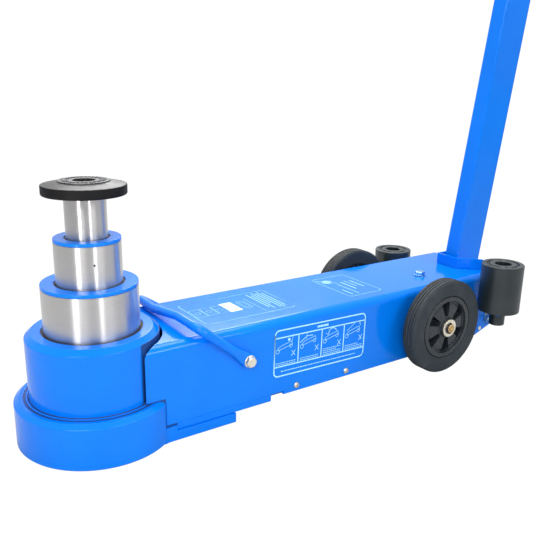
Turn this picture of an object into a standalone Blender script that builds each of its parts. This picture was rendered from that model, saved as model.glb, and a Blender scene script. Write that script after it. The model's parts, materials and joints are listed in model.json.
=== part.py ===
"""Three-stage air-hydraulic car jack, one object for each piece.

Sizes are in millimetres and are turned into metres when a mesh is made. +X runs from the lifting
rams towards the wheels and +Z is up. The origin is on the floor, on the axis of the rams.
"""

from math import cos, hypot, pi, radians, sin

import bmesh
import bpy
from mathutils import Matrix, Vector

MM = 0.001
GAP = 0.3
X_AXIS, Y_AXIS, Z_AXIS = (1, 0, 0), (0, 1, 0), (0, 0, 1)
ROUND, MEDIUM, SMALL, TINY = 32, 20, 12, 8

# Foot and main cylinder
FOOT_R = 101.4
FOOT_TOP = 54.5
FOOT_CHAMFER = 6.5
FOOT_FLOOR, FOOT_LIP = 18.0, 5.0
TONGUE_Y, TONGUE_END, TONGUE_T = 82.0, 163.0, 13.3
TONGUE_PAD_END, TONGUE_PAD_T = 75.0, 20.5
VALVE_BLOCK_END, VALVE_BLOCK_Y, VALVE_BLOCK_TOP = 96.5, 66.0, 50.0
OIL_PORT_X, OIL_PORT_Y = 90.0, -20.0
BARREL_R, BARREL_BORE_R = 82.8, 66.0
BARREL_WALL_TOP, BARREL_TOP = 138.5, 145.0
BARREL_FLAT_R = 75.5
LIP_R, LIP_T = 62.8, 8.0
SLEEVE_LOW = 112.0

# Rams, drawn fully out: top of each stage, outer radius, bore radius
RAM_1_TOP, RAM_1_R, RAM_1_BORE = 205.3, 59.5, 47.0
RAM_2_TOP, RAM_2_R, RAM_2_BORE = 261.7, 40.7, 31.0
RAM_3_TOP, RAM_3_R, RAM_3_BORE = 313.4, 25.1, 13.0
RAM_1_END, RAM_2_END, RAM_3_END = 84.0, 157.0, 218.0
SOCKET_R, SOCKET_DEPTH = 17.3, 28.0
FLANGE_T = 4.2
SPRING_TOP = 280.0
RAM_1_GLAND_DEPTH, RAM_2_GLAND_DEPTH = 22.3, 19.7
# Piston heads: top face, then the seal groove's low edge, high edge and floor radius
RAM_1_HEAD, RAM_1_GROOVE = 111.7, (92.0, 100.0, 61.0)
RAM_2_HEAD, RAM_2_GROOVE = 182.7, (164.0, 171.0, 42.5)
RAM_3_HEAD, RAM_3_GROOVE = 241.7, (225.0, 231.0, 27.6)
BLEED_HOLE_R, BLEED_HOLE_TURN, BLEED_HOLE_Z = 1.3, radians(-100), 235.0

# Saddle
SADDLE_R, SADDLE_BOTTOM, SADDLE_RIM, SADDLE_TOP = 50.5, 313.7, 325.4, 331.0
SADDLE_HOLE_R = 13.4

# Body
BODY_Y, BODY_T, BODY_BEND = 80.0, 5.0, 12.0
BODY_TOP, BODY_BOTTOM, BODY_END = 133.0, 19.0, 705.0
STEP_X, STEP_Z = 60.8, 60.0
PLATE_Z, PLATE_T, PLATE_X = 13.6, 10.0, (76.0, 222.0)
NOTCH_END = 243.0
SLOPE_START_X, SLOPE_END_Z = 642.0, 36.5

# Fasteners and fittings on the body: places are (x, z)
CARRY_PIVOT = (181.0, 87.0)
CARRY_CORNER = (105.0, 148.0)
CARRY_BAR_R = 6.8
SIDE_SCREWS = {"front": (265.0, 28.0), "rear": (358.0, 28.0)}
FILLER = (562.0, -26.0)

# Wheels
WHEEL_X, WHEEL_Z, TYRE_R = 530.0, 76.4, 76.0
WHEEL_FACE_Y, TYRE_WIDTH, HUB_R = 122.5, 25.0, 50.0
RIM_R, BOSS_R, BOSS_FACE_Y = 43.0, 15.0, 124.7
POCKETS, POCKET_TURN, POCKET_HALF = 6, 35, 13
AXLE_R, AXLE_GROOVE_R = 7.5, 6.3
WASHER_R, WASHER_T, CLIP_R, CLIP_T = 14.2, 2.0, 9.2, 1.3

# Handle: pivot (x, z), lean back from upright, and the tube's section
HANDLE_PIVOT = (685.5, 52.0)
HANDLE_LEAN = radians(8.2)
TUBE_X, TUBE_Y, TUBE_WALL = 63.0, 28.5, 2.5
TUBE_FOOT, TUBE_LENGTH = -26.0, 1010.0
COLLAR_X, COLLAR_TOP, COLLAR_T = 650.0, 151.5, 3.5
COLLAR_NEAR_Y, COLLAR_FAR_Y, COLLAR_END = -27.5, 18.5, 692.0
CROSSBAR_R, CROSSBAR_AT, CROSSBAR_HALF = 14.0, 975.0, 170.0
GRIP_R, GRIP_LENGTH = 18.5, 118.0
VALVE_AT, VALVE_HALF_Y, VALVE_DEEP, VALVE_HALF_Z = 890.0, 16.0, 38.0, 34.0
LEVER_SLOT_HALF, LEVER_PIN_R, RELEASE_R = 5.0, 2.0, 4.0

# Adapters and their brackets
ADAPTER_X, ADAPTER_Y, ADAPTER_R = 648.0, 126.0, 33.8
ADAPTER_SEAT_Z, SPIGOT_R, SPIGOT_LENGTH = 86.0, 12.7, 25.0
ADAPTER_HEIGHTS = {"adapter_tall": 79.5, "adapter_short": 49.0}
BRACKET_T, BRACKET_WIDTH, BRACKET_DROP = 3.0, 42.0, 26.0

# Pump and tank
PUMP_X, PUMP_Y, PUMP_Z = (100.0, 150.0), 42.0, (23.9, 100.0)
MOTOR_R, MOTOR_Z, MOTOR_X = 36.0, 74.0, (150.3, 360.0)
PUMP_BORE_START, PLUNGER_R, STROKE_ROOM = 112.0, 9.0, 30.0
TANK_X, TANK_Y, TANK_Z = (400.0, 625.0), 66.0, (92.0, 126.0)


def clear_scene():
    for old in list(bpy.data.objects):
        bpy.data.objects.remove(old, do_unlink=True)


def paint(name, colour, roughness, metallic):
    """A plain Principled material."""
    material = bpy.data.materials.new(name)
    material.use_nodes = True
    shader = material.node_tree.nodes["Principled BSDF"]
    shader.inputs["Base Color"].default_value = (*colour, 1.0)
    shader.inputs["Roughness"].default_value = roughness
    shader.inputs["Metallic"].default_value = metallic
    material.diffuse_color = (*colour, 1.0)
    return material


def make_materials():
    return {
        "blue": paint("blue_paint", (0.01, 0.22, 0.93), 0.22, 0.0),
        "steel": paint("ground_steel", (0.66, 0.65, 0.63), 0.25, 1.0),
        "oxide": paint("black_oxide", (0.035, 0.036, 0.04), 0.38, 0.6),
        "rubber": paint("rubber", (0.05, 0.052, 0.055), 0.75, 0.0),
        "plastic": paint("black_plastic", (0.03, 0.032, 0.036), 0.45, 0.0),
        "zinc": paint("zinc", (0.75, 0.74, 0.68), 0.3, 1.0),
        "brass": paint("brass", (0.60, 0.42, 0.16), 0.35, 1.0),
        "iron": paint("cast_iron", (0.16, 0.16, 0.17), 0.6, 0.8),
    }


def add_object(name, bm, material, origin=(0, 0, 0), sharp_angle=35):
    """Turns a bmesh in row millimetres into one object with its origin at `origin`."""
    bmesh.ops.translate(bm, verts=bm.verts, vec=-Vector(origin))
    bmesh.ops.scale(bm, verts=bm.verts, vec=(MM, MM, MM))
    bmesh.ops.recalc_face_normals(bm, faces=bm.faces)
    mesh = bpy.data.meshes.new(name)
    bm.to_mesh(mesh)
    bm.free()
    mesh.shade_smooth()
    mesh.set_sharp_from_angle(angle=radians(sharp_angle))
    mesh.materials.append(material)
    obj = bpy.data.objects.new(name, mesh)
    obj.location = Vector(origin) * MM
    bpy.context.scene.collection.objects.link(obj)
    return obj


def boolean(obj, bm, operation, label):
    """Cuts a bmesh from an object, or joins it, with a hidden helper and an exact Boolean."""
    helper = add_object(f"{obj.name}_{label}", bm, obj.data.materials[0])
    helper.hide_render = True
    helper.display_type = "WIRE"
    helper.parent = obj
    helper.matrix_parent_inverse = Matrix.Translation(-obj.location)
    modifier = obj.modifiers.new(label, "BOOLEAN")
    modifier.operation = operation
    modifier.solver = "EXACT"
    modifier.object = helper


def cut(obj, bm, label):
    boolean(obj, bm, "DIFFERENCE", label)


def join(obj, bm, label):
    boolean(obj, bm, "UNION", label)


def turn_to(bm, axis, centre):
    """Carries a shape built about +Z to stand on another axis through a point."""
    turn = Vector(Z_AXIS).rotation_difference(Vector(axis)).to_matrix()
    bmesh.ops.rotate(bm, verts=bm.verts, cent=(0, 0, 0), matrix=turn)
    bmesh.ops.translate(bm, verts=bm.verts, vec=centre)
    return bm


def turned(profile, segments, axis=Z_AXIS, centre=(0, 0, 0)):
    """A turned piece. The profile is a ring of (radius, height), open only along the axis."""
    bm = bmesh.new()
    verts = [bm.verts.new((r, 0, h)) for r, h in profile]
    pairs = list(zip(verts, verts[1:]))
    if profile[0][0] > 0:
        pairs.append((verts[-1], verts[0]))
    edges = [bm.edges.new(pair) for pair in pairs]
    bmesh.ops.spin(bm, geom=verts + edges, cent=(0, 0, 0), axis=Z_AXIS, angle=2 * pi, steps=segments,
                   use_merge=True)
    bmesh.ops.remove_doubles(bm, verts=bm.verts, dist=0.0005)
    return turn_to(bm, axis, centre)


def disc(radius, low, high, segments, axis=Z_AXIS, centre=(0, 0, 0), chamfer=0.0):
    """A solid cylinder along an axis, with an optional chamfer at its high end."""
    profile = [(0, low), (radius, low), (radius, high - chamfer)]
    if chamfer:
        profile.append((radius - chamfer, high))
    profile.append((0, high))
    return turned(profile, segments, axis, centre)


def ring(inner, outer, low, high, segments, axis=Z_AXIS, centre=(0, 0, 0)):
    profile = [(outer, high), (outer, low), (inner, low), (inner, high)]
    return turned(profile, segments, axis, centre)


def box(x, y, z):
    """A box between pairs of coordinates."""
    bm = bmesh.new()
    bmesh.ops.create_cube(bm, size=1.0)
    size = (x[1] - x[0], y[1] - y[0], z[1] - z[0])
    centre = ((x[0] + x[1]) / 2, (y[0] + y[1]) / 2, (z[0] + z[1]) / 2)
    bmesh.ops.scale(bm, verts=bm.verts, vec=size)
    bmesh.ops.translate(bm, verts=bm.verts, vec=centre)
    return bm


def prism(outline, axis, low, high):
    """Extrudes an outline. It is (y, z) along X, (x, z) along Y and (x, y) along Z."""
    place = {
        "X": lambda a, b: (low, a, b),
        "Y": lambda a, b: (a, low, b),
        "Z": lambda a, b: (a, b, low),
    }[axis]
    along = {"X": X_AXIS, "Y": Y_AXIS, "Z": Z_AXIS}[axis]
    bm = bmesh.new()
    face = bm.faces.new([bm.verts.new(place(a, b)) for a, b in outline])
    grown = bmesh.ops.extrude_face_region(bm, geom=[face])["geom"]
    moved = [item for item in grown if isinstance(item, bmesh.types.BMVert)]
    bmesh.ops.translate(bm, verts=moved, vec=Vector(along) * (high - low))
    return bm


def arc(centre, radius, start, end, steps):
    """Points on an arc, with its angles in degrees."""
    turn = [radians(start + (end - start) * i / steps) for i in range(steps + 1)]
    return [(centre[0] + radius * cos(a), centre[1] + radius * sin(a)) for a in turn]


def rod(path, radius, sides=12):
    """A round bar along a list of points, with its corners mitred."""
    bm = bmesh.new()
    points = [Vector(p) for p in path]
    loops = []
    side = None
    for i, point in enumerate(points):
        before = (point - points[i - 1]).normalized() if i else None
        after = (points[i + 1] - point).normalized() if i + 1 < len(points) else None
        run = ((before or after) + (after or before)).normalized()
        side = side if side is not None else run.orthogonal()
        side = (side - run * side.dot(run)).normalized()
        up = run.cross(side)
        turns = [2 * pi * k / sides for k in range(sides)]
        loops.append([bm.verts.new(point + (side * cos(a) + up * sin(a)) * radius) for a in turns])
    for low, high in zip(loops, loops[1:]):
        for k in range(sides):
            bm.faces.new((low[k], low[(k + 1) % sides], high[(k + 1) % sides], high[k]))
    bm.faces.new(loops[0])
    bm.faces.new(loops[-1])
    return bm


def hexagon(across, low, high, axis, centre):
    """A hexagonal head, `across` its flats."""
    return disc(across / 3 ** 0.5, low, high, 6, axis, centre)


# ---------------------------------------------------------------- foot and cylinder


def tongue_outline():
    """Half-round root that blends into two straight sides, seen from above."""
    fillet = 20.0
    centre_x = ((FOOT_R + fillet) ** 2 - (TONGUE_Y + fillet) ** 2) ** 0.5
    near = arc((centre_x, -TONGUE_Y - fillet), fillet, 114, 90, 4)
    near = [(50, -TONGUE_Y + 4)] + near + [(TONGUE_END, -TONGUE_Y)]
    return near + [(x, -y) for x, y in reversed(near)]


def make_foot(mats):
    inner, groove = BARREL_R + GAP, 87.0
    flat_r = FOOT_R - FOOT_CHAMFER
    lip = FOOT_TOP + FOOT_LIP
    profile = [(0, 0), (FOOT_R - 1.5, 0), (FOOT_R, 1.5), (FOOT_R, FOOT_TOP), (flat_r, lip),
               (groove, lip), (groove, FOOT_TOP), (inner, FOOT_TOP), (inner, FOOT_FLOOR), (0, FOOT_FLOOR)]
    foot = add_object("base_foot", turned(profile, ROUND), mats["blue"])
    cut(foot, box((STEP_X - 1, 130), (-130, 130), (TONGUE_PAD_T, 80)), "step")
    join(foot, prism(tongue_outline(), "Z", 0.0, TONGUE_PAD_T), "tongue")
    cut(foot, box((TONGUE_PAD_END, 200), (-130, 130), (TONGUE_T, 80)), "pad_end")
    block_z = (TONGUE_T - 3, VALVE_BLOCK_TOP)
    valve_block = box((58, VALVE_BLOCK_END), (-VALVE_BLOCK_Y, VALVE_BLOCK_Y), block_z)
    join(foot, valve_block, "valve_block")
    cut(foot, disc(inner, FOOT_FLOOR, 90, ROUND), "recess")
    cut(foot, disc(3.0, 30, 60, TINY, Z_AXIS, (OIL_PORT_X, OIL_PORT_Y, 0)), "oil_port")


def make_barrel(mats):
    low = FOOT_FLOOR + GAP
    lip = BARREL_TOP - LIP_T
    profile = [(BARREL_R, low), (BARREL_R, BARREL_WALL_TOP), (BARREL_FLAT_R, BARREL_TOP),
               (LIP_R, BARREL_TOP), (LIP_R, lip), (BARREL_BORE_R, lip), (BARREL_BORE_R, low)]
    add_object("cylinder_barrel", turned(profile, ROUND), mats["blue"], (0, 0, low))
    sleeve = ring(RAM_1_R + GAP, BARREL_BORE_R - GAP, SLEEVE_LOW, lip - GAP, ROUND)
    add_object("guide_sleeve", sleeve, mats["brass"], (0, 0, SLEEVE_LOW))
    wiper = ring(RAM_1_R + GAP, LIP_R - GAP, lip + GAP, BARREL_TOP - 0.8, ROUND)
    add_object("wiper_1", wiper, mats["rubber"], (0, 0, lip))


# ---------------------------------------------------------------- rams


def ram_tube(name, radius, bore, head_r, end, head_top, groove, top, mats):
    """A hollow ram with its piston head and seal groove, and the seal in the groove."""
    low, high, groove_r = groove
    profile = [(radius, top), (radius, head_top), (head_r, head_top), (head_r, high), (groove_r, high),
               (groove_r, low), (head_r, low), (head_r, end), (bore, end), (bore, top)]
    ram = add_object(name, turned(profile, ROUND), mats["steel"], (0, 0, end))
    seal = ring(groove_r + GAP, head_r - 0.1, low + GAP, high - GAP, ROUND)
    add_object(name + "_seal", seal, mats["rubber"], (0, 0, low))
    return ram


def gland(name, outer, bore, rod_r, top, depth, mats):
    """Painted gland nut: a flange on the ram's end, a skirt in its bore and a pocket for the wiper."""
    pocket, guide = rod_r + 2.6, rod_r + GAP
    flange = top - FLANGE_T
    skirt = bore - GAP
    pocket_low = top - 9.0
    profile = [(outer, flange), (outer, top - 0.8), (outer - 0.8, top), (pocket, top), (pocket, pocket_low),
               (guide, pocket_low), (guide, top - depth), (skirt, top - depth), (skirt, flange)]
    add_object(name, turned(profile, ROUND), mats["blue"], (0, 0, top - depth))
    return pocket, pocket_low


def wiper(name, rod_r, pocket, low, top, mats):
    band = ring(rod_r + GAP, pocket - GAP, low + GAP, top - 0.7, ROUND)
    add_object(name, band, mats["rubber"], (0, 0, low))


def make_rams(mats):
    ram_tube("ram_1", RAM_1_R, RAM_1_BORE, BARREL_BORE_R - GAP, RAM_1_END, RAM_1_HEAD, RAM_1_GROOVE,
             RAM_1_TOP - FLANGE_T - GAP, mats)
    pocket, low = gland("ram_1_gland", RAM_1_R, RAM_1_BORE, RAM_2_R, RAM_1_TOP, RAM_1_GLAND_DEPTH, mats)
    wiper("wiper_2", RAM_2_R, pocket, low, RAM_1_TOP, mats)

    second = ram_tube("ram_2", RAM_2_R, RAM_2_BORE, RAM_1_BORE - GAP, RAM_2_END, RAM_2_HEAD, RAM_2_GROOVE,
                      RAM_2_TOP - FLANGE_T - GAP, mats)
    outward = (cos(BLEED_HOLE_TURN), sin(BLEED_HOLE_TURN), 0)
    cut(second, disc(BLEED_HOLE_R, 25, 50, TINY, outward, (0, 0, BLEED_HOLE_Z)), "bleed_hole")
    pocket, low = gland("ram_2_gland", RAM_2_R, RAM_2_BORE, RAM_3_R, RAM_2_TOP, RAM_2_GLAND_DEPTH, mats)
    wiper("wiper_3", RAM_3_R, pocket, low, RAM_2_TOP, mats)
    make_last_ram(mats)
    make_return_spring(FOOT_FLOOR + 2, SPRING_TOP - 2, mats)


def make_last_ram(mats):
    """Thinnest ram: bored from below for the spring, with a socket for the saddle in its top."""
    head_r = RAM_2_BORE - GAP
    low, high, groove_r = RAM_3_GROOVE
    socket = RAM_3_TOP - SOCKET_DEPTH
    profile = [(0, socket), (SOCKET_R, socket), (SOCKET_R, RAM_3_TOP), (RAM_3_R, RAM_3_TOP),
               (RAM_3_R, RAM_3_HEAD), (head_r, RAM_3_HEAD), (head_r, high), (groove_r, high),
               (groove_r, low), (head_r, low), (head_r, RAM_3_END), (RAM_3_BORE, RAM_3_END),
               (RAM_3_BORE, SPRING_TOP), (0, SPRING_TOP)]
    add_object("ram_3", turned(profile, ROUND), mats["steel"], (0, 0, RAM_3_END))
    seal = ring(groove_r + GAP, head_r - 0.1, low + GAP, high - GAP, ROUND)
    add_object("ram_3_seal", seal, mats["rubber"], (0, 0, low))


def make_return_spring(low, high, mats):
    """Long pull-back coil down the middle of the three stages."""
    coil_r, wire_r, coils, steps = 8.0, 1.4, 10, 9
    path = []
    for i in range(coils * steps + 1):
        turn = 2 * pi * i / steps
        rise = low + (high - low) * i / (coils * steps)
        path.append((coil_r * cos(turn), coil_r * sin(turn), rise))
    add_object("return_spring", rod(path, wire_r, sides=4), mats["zinc"], (0, 0, low))


def make_saddle(mats):
    spigot_r = SOCKET_R - GAP
    ring_r, ring_foot = 30.5, 329.2
    profile = [(spigot_r, SADDLE_BOTTOM - 25), (spigot_r, SADDLE_BOTTOM), (SADDLE_R - 1.5, SADDLE_BOTTOM),
               (SADDLE_R, SADDLE_BOTTOM + 1.5), (SADDLE_R, SADDLE_RIM - 1.2), (SADDLE_R - 1.2, SADDLE_RIM),
               (ring_r + 0.6, ring_foot), (ring_r, SADDLE_TOP), (SADDLE_HOLE_R + 1.2, SADDLE_TOP),
               (SADDLE_HOLE_R, SADDLE_TOP - 1.2), (SADDLE_HOLE_R, SADDLE_BOTTOM - 25)]
    add_object("saddle", turned(profile, ROUND), mats["oxide"], (0, 0, SADDLE_BOTTOM))


# ---------------------------------------------------------------- body


def shell_section():
    """Half-open channel seen along X, from the near skirt over the top to the far one."""
    bend, inner_bend = BODY_BEND, BODY_BEND - BODY_T
    hub_y, hub_z = BODY_Y - bend, BODY_TOP - bend
    outer = arc((-hub_y, hub_z), bend, 180, 90, 6) + arc((hub_y, hub_z), bend, 90, 0, 6)
    inner = arc((hub_y, hub_z), inner_bend, 0, 90, 6) + arc((-hub_y, hub_z), inner_bend, 90, 180, 6)
    wall = BODY_Y - BODY_T
    return [(-BODY_Y, BODY_BOTTOM)] + outer + [(BODY_Y, BODY_BOTTOM), (wall, BODY_BOTTOM)] + inner + [
        (-wall, BODY_BOTTOM)]


def cross_hole(radius, place, segments=SMALL):
    """A cutter for one hole through both skirts at (x, z)."""
    return disc(radius, -100, 100, segments, Y_AXIS, (place[0], 0, place[1]))


def make_body(mats):
    shell = add_object("body_shell", prism(shell_section(), "X", 20, BODY_END), mats["blue"], (0, 0, 0), 25)
    cut(shell, disc(BARREL_R + 2.0, -20, 170, ROUND), "barrel_arc")
    cut(shell, box((-10, STEP_X), (-95, 95), (0, STEP_Z)), "foot_step")
    cut(shell, box((40, NOTCH_END), (-95, 95), (0, PLATE_Z + PLATE_T + GAP)), "plate_step")
    end = BODY_END + 20
    end_z = BODY_BOTTOM + (SLOPE_END_Z - BODY_BOTTOM) * (end - SLOPE_START_X) / (BODY_END - SLOPE_START_X)
    slope = [(SLOPE_START_X, BODY_BOTTOM), (SLOPE_START_X - 30, 0), (end, 0), (end, end_z)]
    cut(shell, prism(slope, "Y", -95, 95), "tilt_clearance")
    cut(shell, box((COLLAR_X + 4.5, end), (-16, 16), (110, 150)), "handle_slot")
    cut(shell, cross_hole(AXLE_R + GAP, (WHEEL_X, WHEEL_Z)), "axle_hole")
    cut(shell, cross_hole(5.0 + GAP, CARRY_PIVOT), "carry_hole")
    cut(shell, cross_hole(6.0 + GAP, HANDLE_PIVOT), "pivot_hole")
    for label, place in SIDE_SCREWS.items():
        cut(shell, cross_hole(2.5 + GAP, place, TINY), label + "_screw_hole")
    cut(shell, disc(8.0 + GAP, 110, 150, SMALL, Z_AXIS, (FILLER[0], FILLER[1], 0)), "filler_hole")


def make_bottom_plates(mats):
    start, end = PLATE_X
    edge, inset = BODY_Y - 0.2, VALVE_BLOCK_Y + 1
    outline = [(start, -edge), (end, -edge), (end, edge), (start, edge), (start, inset),
               (VALVE_BLOCK_END + 0.5, inset), (VALVE_BLOCK_END + 0.5, -inset), (start, -inset)]
    add_object("bottom_plate", prism(outline, "Z", PLATE_Z, PLATE_Z + PLATE_T), mats["blue"])
    wall, low, high = BODY_Y - BODY_T - GAP, BODY_BOTTOM + 0.3, 38.0
    sheet = 2.5
    section = [(-wall, low), (wall, low), (wall, high), (wall - sheet, high), (wall - sheet, low + sheet),
               (-wall + sheet, low + sheet), (-wall + sheet, high), (-wall, high)]
    cover = add_object("bottom_cover", prism(section, "X", NOTCH_END + 2, SLOPE_START_X - 4), mats["blue"])
    for label, place in SIDE_SCREWS.items():
        cut(cover, cross_hole(2.5 + GAP, place, TINY), label + "_screw_hole")


def make_filler_plug(mats):
    x, y = FILLER
    head = disc(9.5, BODY_TOP + 2.5, BODY_TOP + 9.5, 6, Z_AXIS, (x, y, 0), chamfer=0.8)
    plug = add_object("filler_plug", head, mats["zinc"], (x, y, BODY_TOP))
    join(plug, disc(12.0, BODY_TOP + GAP, BODY_TOP + 3, SMALL, Z_AXIS, (x, y, 0)), "collar")
    join(plug, disc(8.0, BODY_TOP - 12, BODY_TOP + 1, SMALL, Z_AXIS, (x, y, 0)), "stem")


def side_names(side):
    return "left" if side < 0 else "right"


def make_side_screws(mats):
    for side in (-1, 1):
        for label, (x, z) in SIDE_SCREWS.items():
            axis = (0, side, 0)
            centre = (x, 0, z)
            name = f"side_screw_{label}_{side_names(side)}"
            head = disc(4.6, BODY_Y + GAP, BODY_Y + 3.2, TINY, axis, centre, chamfer=1.2)
            screw = add_object(name, head, mats["zinc"], (x, side * BODY_Y, z))
            join(screw, disc(2.5, BODY_Y - 9, BODY_Y + 1, TINY, axis, centre), "shank")
            slot = box((x - 0.6, x + 0.6), sorted((side * (BODY_Y + 2), side * 90)), (z - 6, z + 6))
            cut(screw, slot, "slot")


# ---------------------------------------------------------------- carrying handle


def make_carry_handle(mats):
    """Round bail over the body, with a flattened eye at each end."""
    rod_y = BODY_Y + GAP + 0.5 + CARRY_BAR_R
    px, pz = CARRY_PIVOT
    cx, cz = CARRY_CORNER
    run = hypot(px - cx, pz - cz)
    leg_dir = Vector((cx - px, 0, cz - pz)) / run
    eye = Vector((px, -rod_y, pz))
    corner = Vector((cx, -rod_y, cz))
    bend = 16.0
    near = [eye + leg_dir * 6]
    for i in range(7):
        turn = pi / 2 * i / 6
        near.append(corner - leg_dir * bend * (1 - sin(turn)) + Vector((0, bend * (1 - cos(turn)), 0)))
    far = [Vector((p.x, -p.y, p.z)) for p in reversed(near)]
    bail = add_object("carry_handle", rod(near + far, CARRY_BAR_R, 10), mats["blue"], (px, 0, pz), 60)
    for side in (-1, 1):
        low, high = BODY_Y + 2 * GAP, BODY_Y + 8.0
        axis, centre = (0, side, 0), (px, 0, pz)
        join(bail, disc(12.5, low, high, SMALL, axis, centre, chamfer=1.0), f"eye_{side_names(side)}")
    for side in (-1, 1):
        name = side_names(side)
        axis, centre = (0, side, 0), (px, 0, pz)
        cut(bail, disc(5.0 + GAP, BODY_Y - 10, BODY_Y + 30, SMALL, axis, centre), f"bore_{name}")
        face = BODY_Y + 8.0
        cut(bail, disc(11.0, face, face + 12, SMALL, axis, centre), f"seat_{name}")
        head = hexagon(16.0, face + 1.5, face + 9.0, axis, centre)
        bolt = add_object(f"carry_bolt_{name}", head, mats["zinc"], (px, side * face, pz))
        join(bolt, disc(10.4, face + GAP, face + 2.1, SMALL, axis, centre), "flange")
        join(bolt, disc(5.0, BODY_Y - 16, face + 4, SMALL, axis, centre), "shank")


# ---------------------------------------------------------------- wheels


def make_wheel(side, mats):
    """Tyre, pocketed hub, thrust washer and circlip on one end of the axle."""
    name = side_names(side)
    axis, centre = (0, side, 0), (WHEEL_X, 0, WHEEL_Z)
    place = (WHEEL_X, side * (WHEEL_FACE_Y - TYRE_WIDTH / 2), WHEEL_Z)
    inner, outer = WHEEL_FACE_Y - TYRE_WIDTH, WHEEL_FACE_Y
    shoulder = 2.0
    tyre = [(HUB_R + GAP, outer - 1.5), (HUB_R + 3, outer), (TYRE_R - 5, outer), (TYRE_R, outer - shoulder),
            (TYRE_R, inner + shoulder), (TYRE_R - 5, inner), (HUB_R + 3, inner), (HUB_R + GAP, inner + 1.5)]
    add_object(f"tyre_{name}", turned(tyre, ROUND, axis, centre), mats["rubber"], place)
    make_hub(side, place, mats)

    face = BOSS_FACE_Y + GAP
    washer = ring(AXLE_R + GAP, WASHER_R, face, face + WASHER_T, SMALL, axis, centre)
    add_object(f"wheel_washer_{name}", washer, mats["zinc"], (WHEEL_X, side * face, WHEEL_Z))
    clip_low = face + WASHER_T + GAP
    clip = ring(AXLE_GROOVE_R + GAP, CLIP_R, clip_low, clip_low + CLIP_T, SMALL, axis, centre)
    clip_obj = add_object(f"circlip_{name}", clip, mats["oxide"], (WHEEL_X, side * face, WHEEL_Z))
    low_y, high_y = sorted((side * face, side * (face + 10)))
    cut(clip_obj, box((WHEEL_X + 2, WHEEL_X + 14), (low_y, high_y), (WHEEL_Z + 1.5, WHEEL_Z + 14)), "mouth")


def make_hub(side, place, mats):
    """Moulded hub: its front web is broken by wedge pockets between six broad spokes."""
    name = side_names(side)
    axis, centre = (0, side, 0), (WHEEL_X, 0, WHEEL_Z)
    inner, outer = WHEEL_FACE_Y - TYRE_WIDTH, WHEEL_FACE_Y
    back, front, floor = inner + 5, outer - 1.6, inner + 9
    bore = AXLE_R + GAP
    hub = [(bore, BOSS_FACE_Y), (BOSS_R, BOSS_FACE_Y), (BOSS_R + 1.5, front), (RIM_R - 4, front - 2.0),
           (RIM_R, outer - 1.0), (HUB_R, outer - 1.0), (HUB_R, inner + 1.5), (RIM_R + 3, inner + 1.5),
           (RIM_R, back), (BOSS_R + 1, back), (BOSS_R, BODY_Y + 4.0), (bore, BODY_Y + 4.0)]
    hub_obj = add_object(f"hub_{name}", turned(hub, MEDIUM, axis, centre), mats["plastic"], place)
    for k in range(POCKETS):
        middle = POCKET_TURN + 360 * k / POCKETS
        low, high = middle - POCKET_HALF, middle + POCKET_HALF
        pocket = arc((WHEEL_X, WHEEL_Z), RIM_R - 2.0, low, high, 3)
        pocket += arc((WHEEL_X, WHEEL_Z), BOSS_R + 4.5, high - 2, low + 2, 2)
        cut(hub_obj, prism(pocket, "Y", *sorted((side * floor, side * (outer + 5)))), f"pocket_{k}")


def make_axle(mats):
    face = BOSS_FACE_Y + GAP
    groove = (face + WASHER_T, face + WASHER_T + CLIP_T + 2 * GAP)
    end = groove[1] + 1.8
    half = [(AXLE_R, groove[0]), (AXLE_GROOVE_R, groove[0]), (AXLE_GROOVE_R, groove[1]),
            (AXLE_R - 0.6, groove[1]), (AXLE_R - 0.6, end - 0.8), (AXLE_R - 1.4, end)]
    profile = [(0, -end)] + [(r, -y) for r, y in reversed(half)] + half + [(0, end)]
    axle = turned(profile, SMALL, Y_AXIS, (WHEEL_X, 0, WHEEL_Z))
    add_object("axle", axle, mats["brass"], (WHEEL_X, 0, WHEEL_Z))


# ---------------------------------------------------------------- handle


def lean(bm):
    """Tips a part drawn on the upright handle back about the pivot."""
    pivot = Vector((HANDLE_PIVOT[0], 0, HANDLE_PIVOT[1]))
    bmesh.ops.translate(bm, verts=bm.verts, vec=pivot)
    turn = Matrix.Rotation(HANDLE_LEAN, 3, "Y")
    bmesh.ops.rotate(bm, verts=bm.verts, cent=pivot, matrix=turn)
    return bm


def on_handle(along, across=0.0, y=0.0):
    """Row position of a point on the leaning handle: `along` the tube and `across` it towards the back."""
    x = HANDLE_PIVOT[0] + along * sin(HANDLE_LEAN) + across * cos(HANDLE_LEAN)
    z = HANDLE_PIVOT[1] + along * cos(HANDLE_LEAN) - across * sin(HANDLE_LEAN)
    return (x, y, z)


def make_handle_bracket(mats):
    """Folded collar in front of the handle. Its near wing flares out to a small ear."""
    t, near, far = COLLAR_T, COLLAR_NEAR_Y, COLLAR_FAR_Y
    outline = [(COLLAR_END, far), (COLLAR_X, far), (COLLAR_X, near), (676.0, -53.0), (683.0, -59.5),
               (685.5, -57.0), (678.5, -50.5), (COLLAR_X + t, near + 1.6), (COLLAR_X + t, far - t),
               (COLLAR_END, far - t)]
    collar = prism(outline, "Z", BODY_TOP + GAP, COLLAR_TOP)
    bracket = add_object("handle_bracket", collar, mats["blue"], (COLLAR_X, 0, BODY_TOP))
    bevel = bracket.modifiers.new("folds", "BEVEL")
    bevel.width = 1.2 * MM
    bevel.segments = 1
    bevel.limit_method = "ANGLE"
    bevel.angle_limit = radians(60)


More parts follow.
